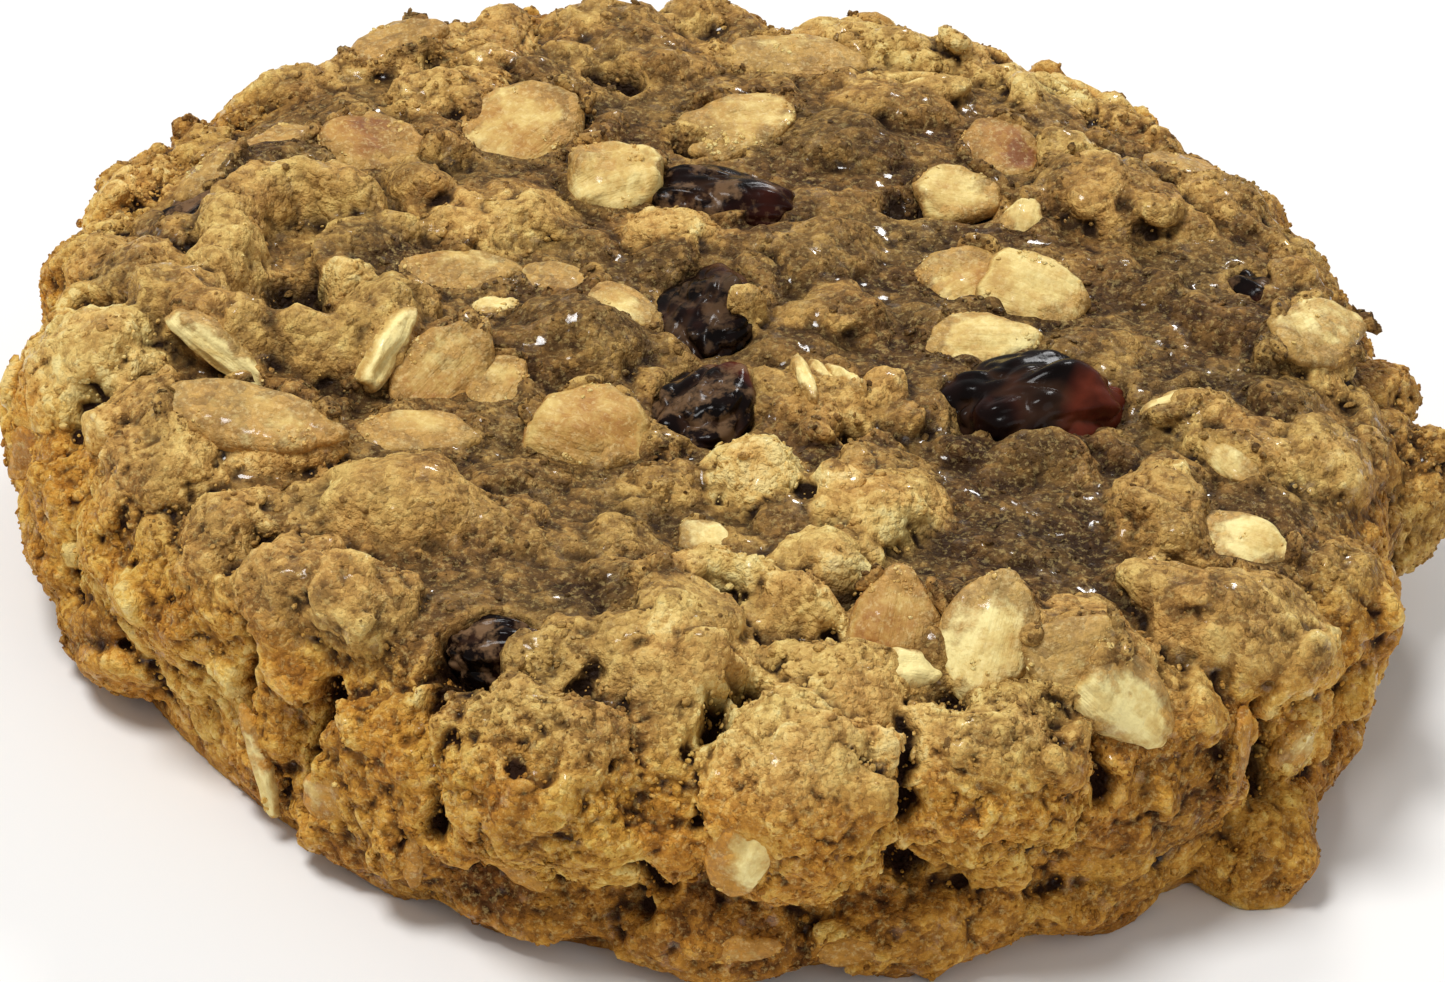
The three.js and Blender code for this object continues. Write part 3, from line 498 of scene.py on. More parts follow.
def thin_out(piece, triangles):
    """Spends a number of triangles where the piece's surface bends most."""
    piece.data.calc_loop_triangles()
    decimate = piece.modifiers.new("thin out", "DECIMATE")
    decimate.ratio = triangles / len(piece.data.loop_triangles)
    settle(piece)
    drop_doubled_faces(piece.data)


def drop_doubled_faces(mesh):
    """Deletes triangles that lie on the same three vertices, which thinning out can leave."""
    bm = bmesh.new()
    bm.from_mesh(mesh)
    sharing = {}
    for face in bm.faces:
        sharing.setdefault(frozenset(vert.index for vert in face.verts), []).append(face)
    doubled = [face for group in sharing.values() if len(group) > 1 for face in group]
    bmesh.ops.delete(bm, geom=doubled, context="FACES")
    bm.to_mesh(mesh)
    bm.free()


def coordinates(mesh):
    flat = np.empty(len(mesh.vertices) * 3, np.float32)
    mesh.vertices.foreach_get("co", flat)
    return flat.reshape(-1, 3).astype(float)


def normals_of(mesh):
    flat = np.empty(len(mesh.vertices) * 3, np.float32)
    mesh.vertex_normals.foreach_get("vector", flat)
    return flat.reshape(-1, 3).astype(float)


def move_to(mesh, points):
    mesh.vertices.foreach_set("co", points.astype(np.float32).ravel())
    mesh.update()


def store(mesh, name, values):
    attribute = mesh.attributes.new(name, "FLOAT", "POINT")
    attribute.data.foreach_set("value", np.asarray(values, np.float32))


def smoothed(mesh, values, rounds):
    """Values at the vertices, averaged along the edges a number of times."""
    ends = np.empty(len(mesh.edges) * 2, np.int32)
    mesh.edges.foreach_get("vertices", ends)
    first, second = ends.reshape(-1, 2).T
    count = len(mesh.vertices)
    share = np.bincount(first, minlength=count) + np.bincount(second, minlength=count)
    columns = values.reshape(count, -1).copy()
    for _ in range(rounds):
        for column in columns.T:
            near = np.bincount(first, column[second], count)
            near += np.bincount(second, column[first], count)
            column[:] = 0.5 * column + 0.5 * near / np.maximum(share, 1)
    return columns.reshape(values.shape)


def spots_on(mesh, count, rng):
    """Seeded places spread evenly over a mesh, with its normal at each of them."""
    mesh.calc_loop_triangles()
    corners = np.empty(len(mesh.loop_triangles) * 3, np.int32)
    mesh.loop_triangles.foreach_get("vertices", corners)
    a, b, c = (coordinates(mesh)[corners.reshape(-1, 3)[:, k]] for k in range(3))
    cross = np.cross(b - a, c - a)
    area = np.linalg.norm(cross, axis=1)
    chosen = rng.choice(len(area), count, p=area / area.sum())
    s, t = rng.random((2, count, 1))
    s, t = np.where(s + t > 1, 1 - s, s), np.where(s + t > 1, 1 - t, t)
    places = a[chosen] + s * (b - a)[chosen] + t * (c - a)[chosen]
    return places, cross[chosen] / np.maximum(area[chosen, None], 1e-9)


def shapes_at(places, radii, out, rng):
    """Matrices that stretch a ball to three radii, stand it on its place and turn it at random."""
    third = out / np.linalg.norm(out, axis=1, keepdims=True)
    first = np.cross(third, rng.normal(size=(len(places), 3)))
    first /= np.linalg.norm(first, axis=1, keepdims=True)
    shapes = np.zeros((len(places), 4, 4))
    shapes[:, :3, :3] = np.stack([first, np.cross(third, first), third], axis=2) * radii[:, None, :]
    shapes[:, :3, 3] = places
    shapes[:, 3, 3] = 1
    return shapes


def fractal(points, size, octaves=3, shift=0.0):
    """Soft noise of about -1 to 1 whose largest features are size mm wide."""
    rows = (points / size + shift).tolist()
    return np.array([noise.fractal(row, 1.0, 2.0, octaves) for row in rows])


def chunks(points, size, shift=0.0):
    """Broken chunks about size mm wide: the rounded top, the crease round it and its own level."""
    tops, creases, levels = [], [], []
    for row in (points / size + shift).tolist():
        (near, next_nearest, _, _), (centre, _, _, _) = noise.voronoi(row)
        tops.append(near)
        creases.append(next_nearest - near)
        levels.append(noise.cell(centre * 5.3))
    return 1 - np.minimum(tops, 1) ** 1.5, np.array(creases), np.array(levels)


def shaken(points, size, far, shifts):
    """Points moved about by up to far mm, so that what is laid over them comes out uneven."""
    return points + far * np.stack([fractal(points, size, 2, shift) for shift in shifts], axis=1)


def bell(values, centre, width):
    return np.exp(-((values - centre) / width) ** 2)


def smooth_step(values, low, high):
    t = np.clip((values - low) / (high - low), 0, 1)
    return t * t * (3 - 2 * t)


# ---- the dough ----
def make_core(bm):
    """A ball whose vertices go to the bare body: level crown, rounded side and flat underside."""
    crown_share, under_share = 0.3, -0.75
    foot = math.asin((WIDEST_HEIGHT / UNDER_DEPTH) ** (EDGE_POWER / 2))
    ball = bmesh.ops.create_icosphere(bm, subdivisions=6, radius=1)
    for vert in ball["verts"]:
        azimuth = math.atan2(vert.co.y, vert.co.x)
        rim = float(footprint_radius(azimuth)) - CORE_RADIUS
        edge_radius = CORE_RADIUS + rim * math.cos(foot) ** (2 / EDGE_POWER)
        if vert.co.z > crown_share:
            radius = CORE_RADIUS * math.sqrt((1 - vert.co.z) / (1 - crown_share))
            height = CROWN_HEIGHT
        elif vert.co.z < under_share:
            radius = edge_radius * math.sqrt((1 + vert.co.z) / (1 + under_share))
            height = 0
        else:
            share = (vert.co.z - under_share) / (crown_share - under_share)
            angle = -foot + share * (math.pi / 2 + foot)
            up = abs(math.sin(angle)) ** (2 / EDGE_POWER)
            depth = CROWN_HEIGHT - WIDEST_HEIGHT if angle > 0 else -UNDER_DEPTH
            radius = CORE_RADIUS + rim * math.cos(angle) ** (2 / EDGE_POWER)
            height = WIDEST_HEIGHT + up * depth
        vert.co = (radius * math.cos(azimuth), radius * math.sin(azimuth), height)


def reach_of(length):
    """How far from its middle a lump still changes the dough's tone."""
    return length * 0.6 + 2


def note_lump(lumps, place, length, width, rise, turn, tone, crumb):
    """Lists one lump, sunk in the body: its shape, and what its dough looks like."""
    proud = rise * LUMP_RELIEF
    height = max(LUMP_ROUND * min(length, width), proud * LUMP_ROOT)
    place = turned(place, turn, height - proud)
    shape = place @ Matrix.Diagonal((LUMP_SPREAD * length, LUMP_SPREAD * width, height, 1))
    lumps.append(dict(shape=shape, inverse=np.array(shape.inverted()), weight=1,
                      tone=tone, crumb=crumb, centre=np.array(place.translation),
                      reach=reach_of(max(length, width))))


def along_curve(points, spacing):
    """Evenly spaced points on a smooth curve through a few given ones."""
    knots = [Vector((x, y, 0)) for x, y in points]
    knots = [2 * knots[0] - knots[1], *knots, 2 * knots[-1] - knots[-2]]
    fine = []
    for a, b, c, d in zip(knots, knots[1:], knots[2:], knots[3:]):
        for f in (k / 12 for k in range(12)):
            cubic = (3 * b - a - 3 * c + d) * f ** 3
            fine.append(0.5 * (2 * b + (c - a) * f + (2 * a - 5 * b + 4 * c - d) * f * f + cubic))
    fine.append(knots[-2])
    kept = [fine[0]]
    for point in fine:
        if (point - kept[-1]).length >= spacing:
            kept.append(point)
    return kept


def add_hidden_lumps(lumps):
    """Lists lumps drawn at random for the side that doesn't show."""
    draw = random.Random(GRAIN_SEED)
    for height, step in HIDDEN_ROWS:
        for k in range(int((HIDDEN_TO - HIDDEN_FROM) / step) + 1):
            place = side_seat(HIDDEN_FROM + k * step + draw.uniform(-3, 3),
                              height + draw.uniform(-1.5, 1.5))
            tone = draw.uniform(0.42, 0.66) - (0.12 if height < 8 else 0)
            note_lump(lumps, place, draw.uniform(10, 15), draw.uniform(7, 11),
                      draw.uniform(1.2, 3), draw.uniform(-25, 25), tone, draw.uniform(0.6, 1))


def all_lumps():
    lumps = []
    for x, y, length, width, rise, turn, tone, crumb in CROWN_LUMPS:
        note_lump(lumps, crown_seat(x, y), length, width, rise, turn, tone, crumb)
    for ridge in CROWN_RIDGES:
        width = ridge["width"]
        for point in along_curve(ridge["points"], width * 0.28):
            note_lump(lumps, crown_seat(point.x, point.y), width * 1.05, width, ridge["rise"], 0,
                      ridge["tone"], ridge["crumb"])
    for azimuth, height, width, tall, rise, turn, tone, crumb in SIDE_LUMPS:
        note_lump(lumps, side_seat(azimuth, height), width, tall, rise, turn, tone, crumb)
    add_hidden_lumps(lumps)
    return lumps


def lump_balls(lumps):
    shapes = np.array([lump["shape"] for lump in lumps])
    return uneven_balls("lumps", unit_ball(4), shapes, 1.6, 1.0, 0.19)


def surface_seat(tree, point, out, reach):
    """The middle and the normal of what shows at a place, from rays shot in around it."""
    rays, start = 8, 12
    side = out.orthogonal().normalized()
    other = out.cross(side)
    offsets = [(side * math.cos(angle) + other * math.sin(angle)) * reach
               for angle in (k * math.tau / rays for k in range(rays))]
    hits = []
    for offset in (*offsets, Vector()):
        hit = tree.ray_cast(point + offset + out * start, -out, 2 * start)[0]
        if hit:
            hits.append(hit)
    if len(hits) < rays / 2:
        return point, out
    middle = sum(hits, Vector()) / len(hits)
    _, _, rows = np.linalg.svd(np.array(hits) - np.array(middle))
    normal = Vector(rows[2])
    if normal.dot(out) < 0:
        normal.negate()
    normal = (normal + out * 0.8).normalized()
    return middle, normal


def hidden_flakes():
    """Flakes for the side that doesn't show, evenly spaced in two rows and otherwise random."""
    draw = random.Random(FLAKE_SEED)
    margin = 6
    spread = HIDDEN_TO - HIDDEN_FROM - 2 * margin
    listed = []
    for k in range(HIDDEN_FLAKES):
        height = draw.uniform(11, 15) if k % 2 else draw.uniform(4, 7)
        place = side_seat(HIDDEN_FROM + margin + k * spread / (HIDDEN_FLAKES - 1), height)
        length = draw.uniform(6, 8.5)
        listed.append((place, length, length * 0.66, 1.5, 0, draw.uniform(-20, 20),
                       draw.uniform(-80, 80), draw.uniform(0.15, 0.6), draw.uniform(0.2, 0.8)))
    return listed


def flake_places(tree):
    """Where each oat flake lies, as a matrix, with its size, its toast and its film of dough."""
    listed = [(crown_seat(x, y), *shape) for x, y, *shape in CROWN_FLAKES]
    listed += [(side_seat(azimuth, height), *shape) for azimuth, height, *shape in SIDE_FLAKES]
    listed += hidden_flakes()
    places = []
    for place, length, width, thick, front, right, turn, toast, film in listed:
        slope = abs(math.sin(math.radians(front))) + abs(math.sin(math.radians(right)))
        lift = FLAKE_LIFT * width * slope
        local = laid_on(tree, place, (length, width), (front, right, turn), SUNK * thick - lift)
        places.append(dict(place=local, inverse=np.array(local.inverted()), length=length, lift=lift,
                           width=width, thick=thick, toast=toast, film=film))
    return places


def laid_on(tree, place, size, angles, sink):
    """A seat on what shows there, leaning to the front and the right and then turned."""
    out = place.col[2].to_3d()
    middle, normal = surface_seat(tree, place.translation, out, min(size) * 0.33)
    side = place.col[1].to_3d().cross(normal).normalized()
    basis = Matrix((side, normal.cross(side), normal)).transposed().to_4x4()
    local = Matrix.Translation(middle) @ basis
    for angle, axis in zip(angles, "XYZ"):
        local = local @ Matrix.Rotation(math.radians(angle), 4, axis)
    return local @ Matrix.Translation((0, 0, -sink))


def slab_seats(draw):
    """Random seats on the crown, clear of the fields that stay smooth, and on the side."""
    seats = []
    for _ in range(CROWN_SLABS):
        radius, azimuth = 46 * math.sqrt(draw.random()), draw.uniform(0, math.tau)
        x, y = radius * math.cos(azimuth), radius * math.sin(azimuth)
        if all(math.hypot(x - a, y - b) > reach for a, b, reach in SMOOTH_FIELDS):
            seats.append(crown_seat(x, y))
    for _ in range(SIDE_SLABS):
        seats.append(side_seat(draw.uniform(0, 360), draw.uniform(3, 17)))
    return seats


def slab_ball():
    """A ball squared off towards a slab with a blunt edge."""
    points, corners = unit_ball(3)
    wide = np.maximum(np.hypot(points[:, 0], points[:, 1]), 1e-6)
    points[:, :2] *= (wide ** -0.3)[:, None]
    points[:, 2] = np.sign(points[:, 2]) * np.abs(points[:, 2]) ** 0.75
    return points, corners


def add_slabs(tree, lumps, flakes):
    """Lists thin slabs that lean out of the dough, near its own tone where they lie."""
    draw = random.Random(SLAB_SEED)
    seats = slab_seats(draw)
    tones, crumbs = tone_and_crumb(np.array([seat.translation for seat in seats]), lumps)
    slabs = []
    for place, tone, crumb in zip(seats, tones, crumbs):
        length, thick = draw.uniform(3.2, 8.5), draw.uniform(0.9, 1.7)
        width = length * draw.uniform(0.5, 0.85)
        angles = (draw.gauss(6, 13), draw.gauss(0, 13), draw.uniform(-90, 90))
        local = laid_on(tree, place, (length, width), angles, thick - draw.uniform(0.4, 1.0))
        if any((flake["place"].translation - local.translation).length
               < flake["width"] / 2 + width * 0.4 for flake in flakes):
            continue
        shape = local @ Matrix.Diagonal((length / 2, width / 2, thick, 1))
        slabs.append(dict(shape=shape, inverse=np.array(shape.inverted()), weight=SLAB_WEIGHT,
                          tone=tone + draw.uniform(-0.12, 0.22),
                          crumb=crumb * draw.uniform(0.3, 1.1),
                          centre=np.array(local.translation), reach=reach_of(length)))
    lumps += slabs
    shapes = np.array([slab["shape"] for slab in slabs])
    return uneven_balls("slabs", slab_ball(), shapes, 1.5, 1.0, 0.14)


def flake_beds(flakes):
    """Dough that rises round each flake's edge and holds it."""
    ball = unit_ball(3)
    shapes = []
    for flake in flakes:
        depth = 0.6 * flake["thick"] + flake["lift"]
        radii = (flake["length"] * 0.52 + BED_MARGIN, flake["width"] * 0.52 + BED_MARGIN, depth, 1)
        sunk = flake["place"] @ Matrix.Translation((0, 0, 0.02 * flake["thick"] - depth))
        shapes.append(sunk @ Matrix.Diagonal(radii))
    return joined_balls("beds", ball, np.array(shapes), np.ones((len(shapes), len(ball[0]))))


def flake_lips(flakes):
    """Small folds of dough over parts of the larger flakes' rims."""
    draw = random.Random(LIP_SEED)
    least_width = 3
    shapes = []
    for flake in (flake for flake in flakes if flake["width"] >= least_width):
        for _ in range(draw.randint(2, 5)):
            angle, reach = draw.uniform(0, math.tau), draw.uniform(0.46, 0.54)
            spot = (flake["length"] * reach * math.cos(angle),
                    flake["width"] * reach * math.sin(angle),
                    draw.uniform(-0.1, 0.15) * flake["thick"])
            radii = (draw.uniform(0.5, 1.1), draw.uniform(0.9, 2.0), draw.uniform(0.5, 0.8), 1)
            shapes.append(flake["place"] @ Matrix.Translation(spot)
                          @ Matrix.Rotation(angle + draw.uniform(-0.5, 0.5), 4, "Z")
                          @ Matrix.Diagonal(radii))
    return uneven_balls("lips", unit_ball(2), np.array(shapes), 1.2, 0.8, 0.3)


def tone_and_crumb(points, lumps):
    """Each point's tone and crumbliness, from the lumps it belongs to and the bare dough."""
    crown = smooth_step(points[:, 2], 14, 19)
    weight = np.full(len(points), BARE_WEIGHT)
    tone = BARE_WEIGHT * (0.42 - 0.16 * crown)
    crumb = BARE_WEIGHT * (0.5 - 0.25 * crown)
    for lump in lumps:
        near = np.linalg.norm(points - lump["centre"], axis=1) < lump["reach"]
        local = points[near] @ lump["inverse"][:3, :3].T + lump["inverse"][:3, 3]
        size = np.linalg.norm(local, axis=1)
        share = lump["weight"] * np.exp(-np.maximum(size - 0.8, 0) ** 2 / 0.035)
        weight[near] += share
        tone[near] += share * lump["tone"]
        crumb[near] += share * lump["crumb"]
    return tone / weight, crumb / weight


def tone_shift(points):
    """How much paler or browner the dough is at each point for the patch it lies in."""
    places = [(crown_point(x, y), radius, shift) for x, y, radius, shift in CROWN_PATCHES]
    places += [(side_point(azimuth, height), radius, shift)
               for azimuth, height, radius, shift in SIDE_PATCHES]
    total = np.zeros(len(points))
    for place, radius, shift in places:
        away = np.linalg.norm(points - np.array(place), axis=1) / radius
        total += shift * np.exp(-away ** 4)
    return total


def inside_raisin(points, grow):
    """How far each point is from the nearest raisin: 1 on its outline, grown by some mm."""
    least = np.full(len(points), FAR_AWAY)
    for raisin in RAISINS:
        inverse = np.array(raisin_place(raisin).inverted())
        half = np.array(raisin["size"]) / 2 + grow
        local = (points @ inverse[:3, :3].T + inverse[:3, 3]) / half
        least = np.minimum(least, np.linalg.norm(local, axis=1))
    return least


def raisin_place(raisin):
    return turned(crown_seat(*raisin["at"]), raisin["turn"], raisin["size"][2] / 2 - raisin["rise"])


def flake_share(points, flakes):
    """Where each point lies in the nearest flake's outline: 0 at its middle, 1 at its rim."""
    least = np.full(len(points), FAR_AWAY)
    for flake in flakes:
        inverse = flake["inverse"]
        local = points @ inverse[:3, :3].T + inverse[:3, 3]
        flat = np.hypot(local[:, 0] / (flake["length"] / 2), local[:, 1] / (flake["width"] / 2))
        flat += np.maximum(np.abs(local[:, 2]) - flake["thick"], 0)
        least = np.minimum(least, flat)
    return least


def dough_grains(skin, lumps, flakes):
    """Rounded grains of dough, thick on crumbly lumps and few on smooth ones."""
    rng = np.random.default_rng(GRAIN_SEED)
    places, out = spots_on(skin, GRAIN_SPOTS, rng)
    _, crumb = tone_and_crumb(places, lumps)
    kept = rng.random(len(places)) < 0.015 + 0.25 * crumb ** 2
    kept &= (inside_raisin(places, 0.6) > 1) & (flake_share(places, flakes) > 0.9)
    kept &= places[:, 2] > 0.8
    places, out = places[kept], out[kept]
    size = LEAST_GRAIN + GRAIN_SPREAD * rng.random(len(places)) ** 3
    places = places - out * (size * rng.uniform(0.2, 0.8, len(places)))[:, None]
    radii = size[:, None] * rng.uniform(0.7, 1.3, (len(places), 3))
    ball = unit_ball(2)
    uneven = rng.uniform(0.9, 1.1, (len(places), len(ball[0])))
    return joined_balls("grains", ball, shapes_at(places, radii, out, rng), uneven)


def crack_depths(points):
    """How deep the cracks cut at each point, mm."""
    depth = np.zeros(len(points))
    seats = [([crown_point(x, y) for x, y in corners], width, deep)
             for corners, width, deep in CROWN_CRACKS]
    seats += [([side_point(a, h) for a, h in corners], width, deep)
              for corners, width, deep in SIDE_CRACKS]
    wavy = shaken(points, 2.6, 0.7, (3.1, 7.7, 12.9))
    for corners, width, deep in seats:
        a, b = np.array(corners[0]), np.array(corners[-1])
        out = outward((a + b)[None] / 2)[0]
        line = b - a
        length = max(line @ line, 1e-9)
        t = np.clip(((wavy - a) @ line) / length, 0, 1)
        away = wavy - a - t[:, None] * line
        away -= (away @ out)[:, None] * out * 0.75
        share = 1 - smooth_step(np.linalg.norm(away, axis=1), 0.35 * width, 1.25 * width)
        depth = np.maximum(depth, deep * share)
    return depth


def clear_of_floor(points):
    """0 on the floor and 1 from a little above it, where relief and crumb begin."""
    return smooth_step(points[:, 2], *CRUMB_START)


def lean(points):
    """The way out of the body, straight down on its underside."""
    out = outward(points)
    out[points[:, 2] < 0.6] = (0, 0, -1)
    return out


def large_chunks(points):
    """Relief of broken chunks with deep creases between them, and the level of each chunk."""
    top, crease, level = chunks(shaken(points, 3.0, 0.9, (0, 4.7, 9.4)), CHUNK_SIZE)
    gap = 1 - smooth_step(crease, 0.02, 0.2)
    return CHUNK_STEP * level - CHUNK_CREASE * gap * smooth_step(top, 0.2, 0.6), level


def small_chunks(points):
    """Relief of crumbs pressed together."""
    top, crease, level = chunks(points, CRUMB_SIZE, 5.5)
    gap = 1 - smooth_step(crease, 0.02, 0.3)
    return CRUMB_STEP * level + CRUMB_STEP * (top - 0.6) - CRUMB_CREASE * gap


def relief(points, crumb, above_floor, flakes):
    """How far the dough rises at each point, mm, and the level of the chunk that it is on."""
    to_flake = flake_share(points, flakes)
    bare = smooth_step(to_flake, 0.8, 1.15)
    rough = crumb * above_floor * bare
    broken, level = large_chunks(points)
    broad, narrow = SWELL_SIZES
    swell = SWELL_RISE * fractal(points, broad, 3) + SWELL_RISE * fractal(points, narrow, 3, 4.4)
    raised = swell * above_floor * bare
    raised += rough * broken
    raised += rough * small_chunks(points)
    raised -= RAISIN_MOAT * bell(inside_raisin(points, 0.0), 1.05, 0.1) * above_floor
    lip = bell(to_flake, 1.04, 0.12)
    raised += FLAKE_LIP * lip * smooth_step(fractal(points, 2.4, 2, 6.6), -0.1, 0.5)
    fine = fractal(points, 1.0, 3, 2.2)
    pits = smooth_step(fractal(points, 1.9, 2, 9.1), 0.42, 0.66) * rough
    raised += FINE_RELIEF * fine * (0.3 * above_floor + rough) - PIT_DEPTH * pits
    return raised, level


def socket_depths(points):
    """How deep the dough gives way under each raisin, mm."""
    depth = 1 - smooth_step(inside_raisin(points, 0.1), 0.86, 1.0)
    depth *= SOCKET_DEPTH * smooth_step(points[:, 2], 12, 17)
    return depth


def flatten_underside(points):
    """Lays the lowest points on the floor, with shallow dimples between them."""
    low = points[:, 2] < 0.35
    points[low, 2] = DIMPLE_DEPTH * (0.5 + 0.5 * fractal(points[low] * (1, 1, 0), 3.2, 3))
    points[:, 2] = np.maximum(points[:, 2], 0)


def note_hollows(mesh, points, cracks):
    """Stores how far each place lies under its surroundings, near and further around it, for the
    painted shade in the dough's colour.
    """
    normals = normals_of(mesh)
    hollow = np.einsum("ij,ij->i", smoothed(mesh, points, 8) - points, normals)
    broad = np.einsum("ij,ij->i", smoothed(mesh, points, 60) - points, normals)
    store(mesh, "hollow", np.clip(hollow * 4.5, -1, 1))
    store(mesh, "deep", np.clip(broad * 0.9 + cracks * 0.3, -1, 1.5))


def carve(piece, lumps, flakes):
    """Relief on the fused dough: swells, broken chunks, crumb, cracks, pits and sockets."""
    mesh = piece.data
    points = coordinates(mesh)
    _, crumb = tone_and_crumb(points, lumps)
    out = lean(points)
    above_floor = clear_of_floor(points)
    cracks = crack_depths(points) * above_floor
    raised, level = relief(points, crumb, above_floor, flakes)
    points = points - out * cracks[:, None] + normals_of(mesh) * raised[:, None]
    points -= out * socket_depths(points)[:, None]
    flatten_underside(points)
    move_to(mesh, points)
    note_hollows(mesh, points, cracks)
    store(mesh, "chunk", level)


def note_places(mesh, lumps, darkest=0.0):
    """Stores what the dough's colours follow at each place of a finished mesh."""
    points = coordinates(mesh)
    tone, crumb = tone_and_crumb(points, lumps)
    above_floor = clear_of_floor(points)
    shoulder = points[:, 2] - 0.06 * (np.hypot(points[:, 0], points[:, 1]) - 44)
    store(mesh, "tone", np.maximum(tone + tone_shift(points), darkest))
    store(mesh, "crumb", crumb * above_floor)
    azimuth = np.arctan2(points[:, 1], points[:, 0])
    right_end = bell(np.degrees(azimuth - 0.1), 0, 14)
    side = 1 - smooth_step(shoulder, *SIDE_COLOUR_HEIGHTS)
    store(mesh, "side", side * (1 - 0.7 * right_end))
    off_raisin = np.maximum(inside_raisin(points, 0) - 1, 0)
    store(mesh, "stain", np.exp(-off_raisin / 0.16) * above_floor)


def make_dough():
    lumps = all_lumps()
    bm = bmesh.new()
    make_core(bm)
    bm.from_mesh(lump_balls(lumps))
    tree = BVHTree.FromBMesh(bm)
    flakes = flake_places(tree)
    bm.from_mesh(add_slabs(tree, lumps, flakes))
    bm.from_mesh(flake_beds(flakes))
    bm.from_mesh(flake_lips(flakes))
    first_skin = from_bmesh("first skin", bm.copy())
    fuse(first_skin, FIRST_VOXEL, 1)
    bm.from_mesh(dough_grains(first_skin.data, lumps, flakes))
    bpy.data.objects.remove(first_skin)
    dough = from_bmesh("dough", bm)
    fuse(dough, LAST_VOXEL, 2)
    carve(dough, lumps, flakes)
    thin_out(dough, DOUGH_TRIANGLES)
    note_places(dough.data, lumps)
    dough.data.shade_smooth()
    return dough, lumps, flakes


def likely_on_dough(places, out, lumps, flakes):
    """The chance of a crumb, high on crumbly lumps and round the flakes."""
    _, crumb = tone_and_crumb(places, lumps)
    share = flake_share(places, flakes)
    chance = 0.03 + 0.75 * crumb ** 2 + 0.5 * bell(share, 1.05, 0.16)
    return np.where(share > 0.86, chance, 0)


def likely_on_flakes(places, out, lumps, flakes):
    """The chance of a crumb on a flake's outer face, in clusters that thicken towards its rim."""
    faces_out = np.einsum("ij,ij->i", outward(places), out) > 0.2
    cluster = fractal(places, 2.6, 2, 5.5) + 0.5 * flake_share(places, flakes)
    return faces_out * 0.9 * smooth_step(cluster, 0.58, 0.8)


def make_crumbs(base, likely, lumps, flakes, name, count, radius, largest, flat, subdivisions, seed,
                darkest=0.0):
    """Loose crumbs pressed into a piece wherever they are likely to lie."""
    rng = np.random.default_rng(seed)
    tries = 6
    places, out = spots_on(base.data, count * tries, rng)
    kept = rng.random(len(places)) < likely(places, out, lumps, flakes)
    kept &= (inside_raisin(places, 0.3) > 1) & (places[:, 2] > 0.7)
    places, out = places[kept][:count], out[kept][:count]
    size = radius + (largest - radius) * rng.random(len(places)) ** 2.5
    places = places + out * (size * flat * rng.uniform(-0.45, 0.4, len(places)))[:, None]
    radii = size[:, None] * rng.uniform(0.6, 1.3, (len(places), 3)) * (1, 1, flat)
    leaning = out + 0.35 * rng.normal(size=out.shape)
    ball = unit_ball(subdivisions)
    uneven = rng.uniform(0.84, 1.16, (len(places), len(ball[0])))
    shapes = shapes_at(places, radii, leaning, rng)
    crumbs = link_mesh(name, joined_balls(name, ball, shapes, uneven))
    note_places(crumbs.data, lumps, darkest)
    # the crumbs get no painted shade
    store(crumbs.data, "hollow", np.zeros(uneven.size))
    store(crumbs.data, "deep", np.zeros(uneven.size))
    store(crumbs.data, "chunk", np.repeat(rng.uniform(-1.2, 1.6, len(places)), len(ball[0])))
    crumbs.data.shade_smooth()
    return crumbs


# ---- oat flakes ----
def shape_flake(unit, flake, seed):
    """Moves a point of a unit ball to a rolled oat, a flat uneven oval creased along its middle.

    Gives the point, its share of the way out to the rim and how much dough clings to it there.
    """
    angle = math.atan2(unit.y, unit.x)
    wide = math.hypot(unit.x, unit.y) ** 0.72
    ring = Vector((math.cos(angle), math.sin(angle), 0))
    outline = 1 + OUTLINE_BROAD * noise.noise(ring * 1.3 + Vector((0, 0, seed)))
    outline += OUTLINE_FINE * noise.noise(ring * 4.5 + Vector((0, 0, seed + 3)))
    x = wide * outline * ring.x
    y = wide * outline * ring.y * (1 - EGG_SHAPE * x)
    face = math.copysign(abs(unit.z) ** 0.6, unit.z)
    local = Vector((x * flake["length"] / 2, y * flake["width"] / 2, 0))
    crease = math.exp(-((y + 0.06 * math.sin(3 * x + seed)) / 0.12) ** 2) * (1 - x * x)
    fibre = noise.noise((local.x * 0.25, local.y * 2.4, seed))
    swollen = math.exp(-((wide - 0.84) / 0.12) ** 2)
    rise = face * (FLAKE_FACE - FLAKE_CREASE * crease + FLAKE_EDGE_SWELL * swollen
                   + FLAKE_FIBRE * fibre)
    curl = noise.noise((x * 1.3, y * 1.3, seed + 8))
    bend = -BEND_ALONG * x * x - BEND_ACROSS * y * y + BEND_RANDOM * curl
    bumps = FLAKE_BUMPS * noise.fractal(local * 0.9 + Vector((0, 0, seed)), 1.0, 2.0, 3)
    local.z = flake["thick"] * (rise + bend + bumps)
    held = flake["film"] + 0.45 * (x * math.cos(seed) + y * math.sin(seed))
    return local, wide, held


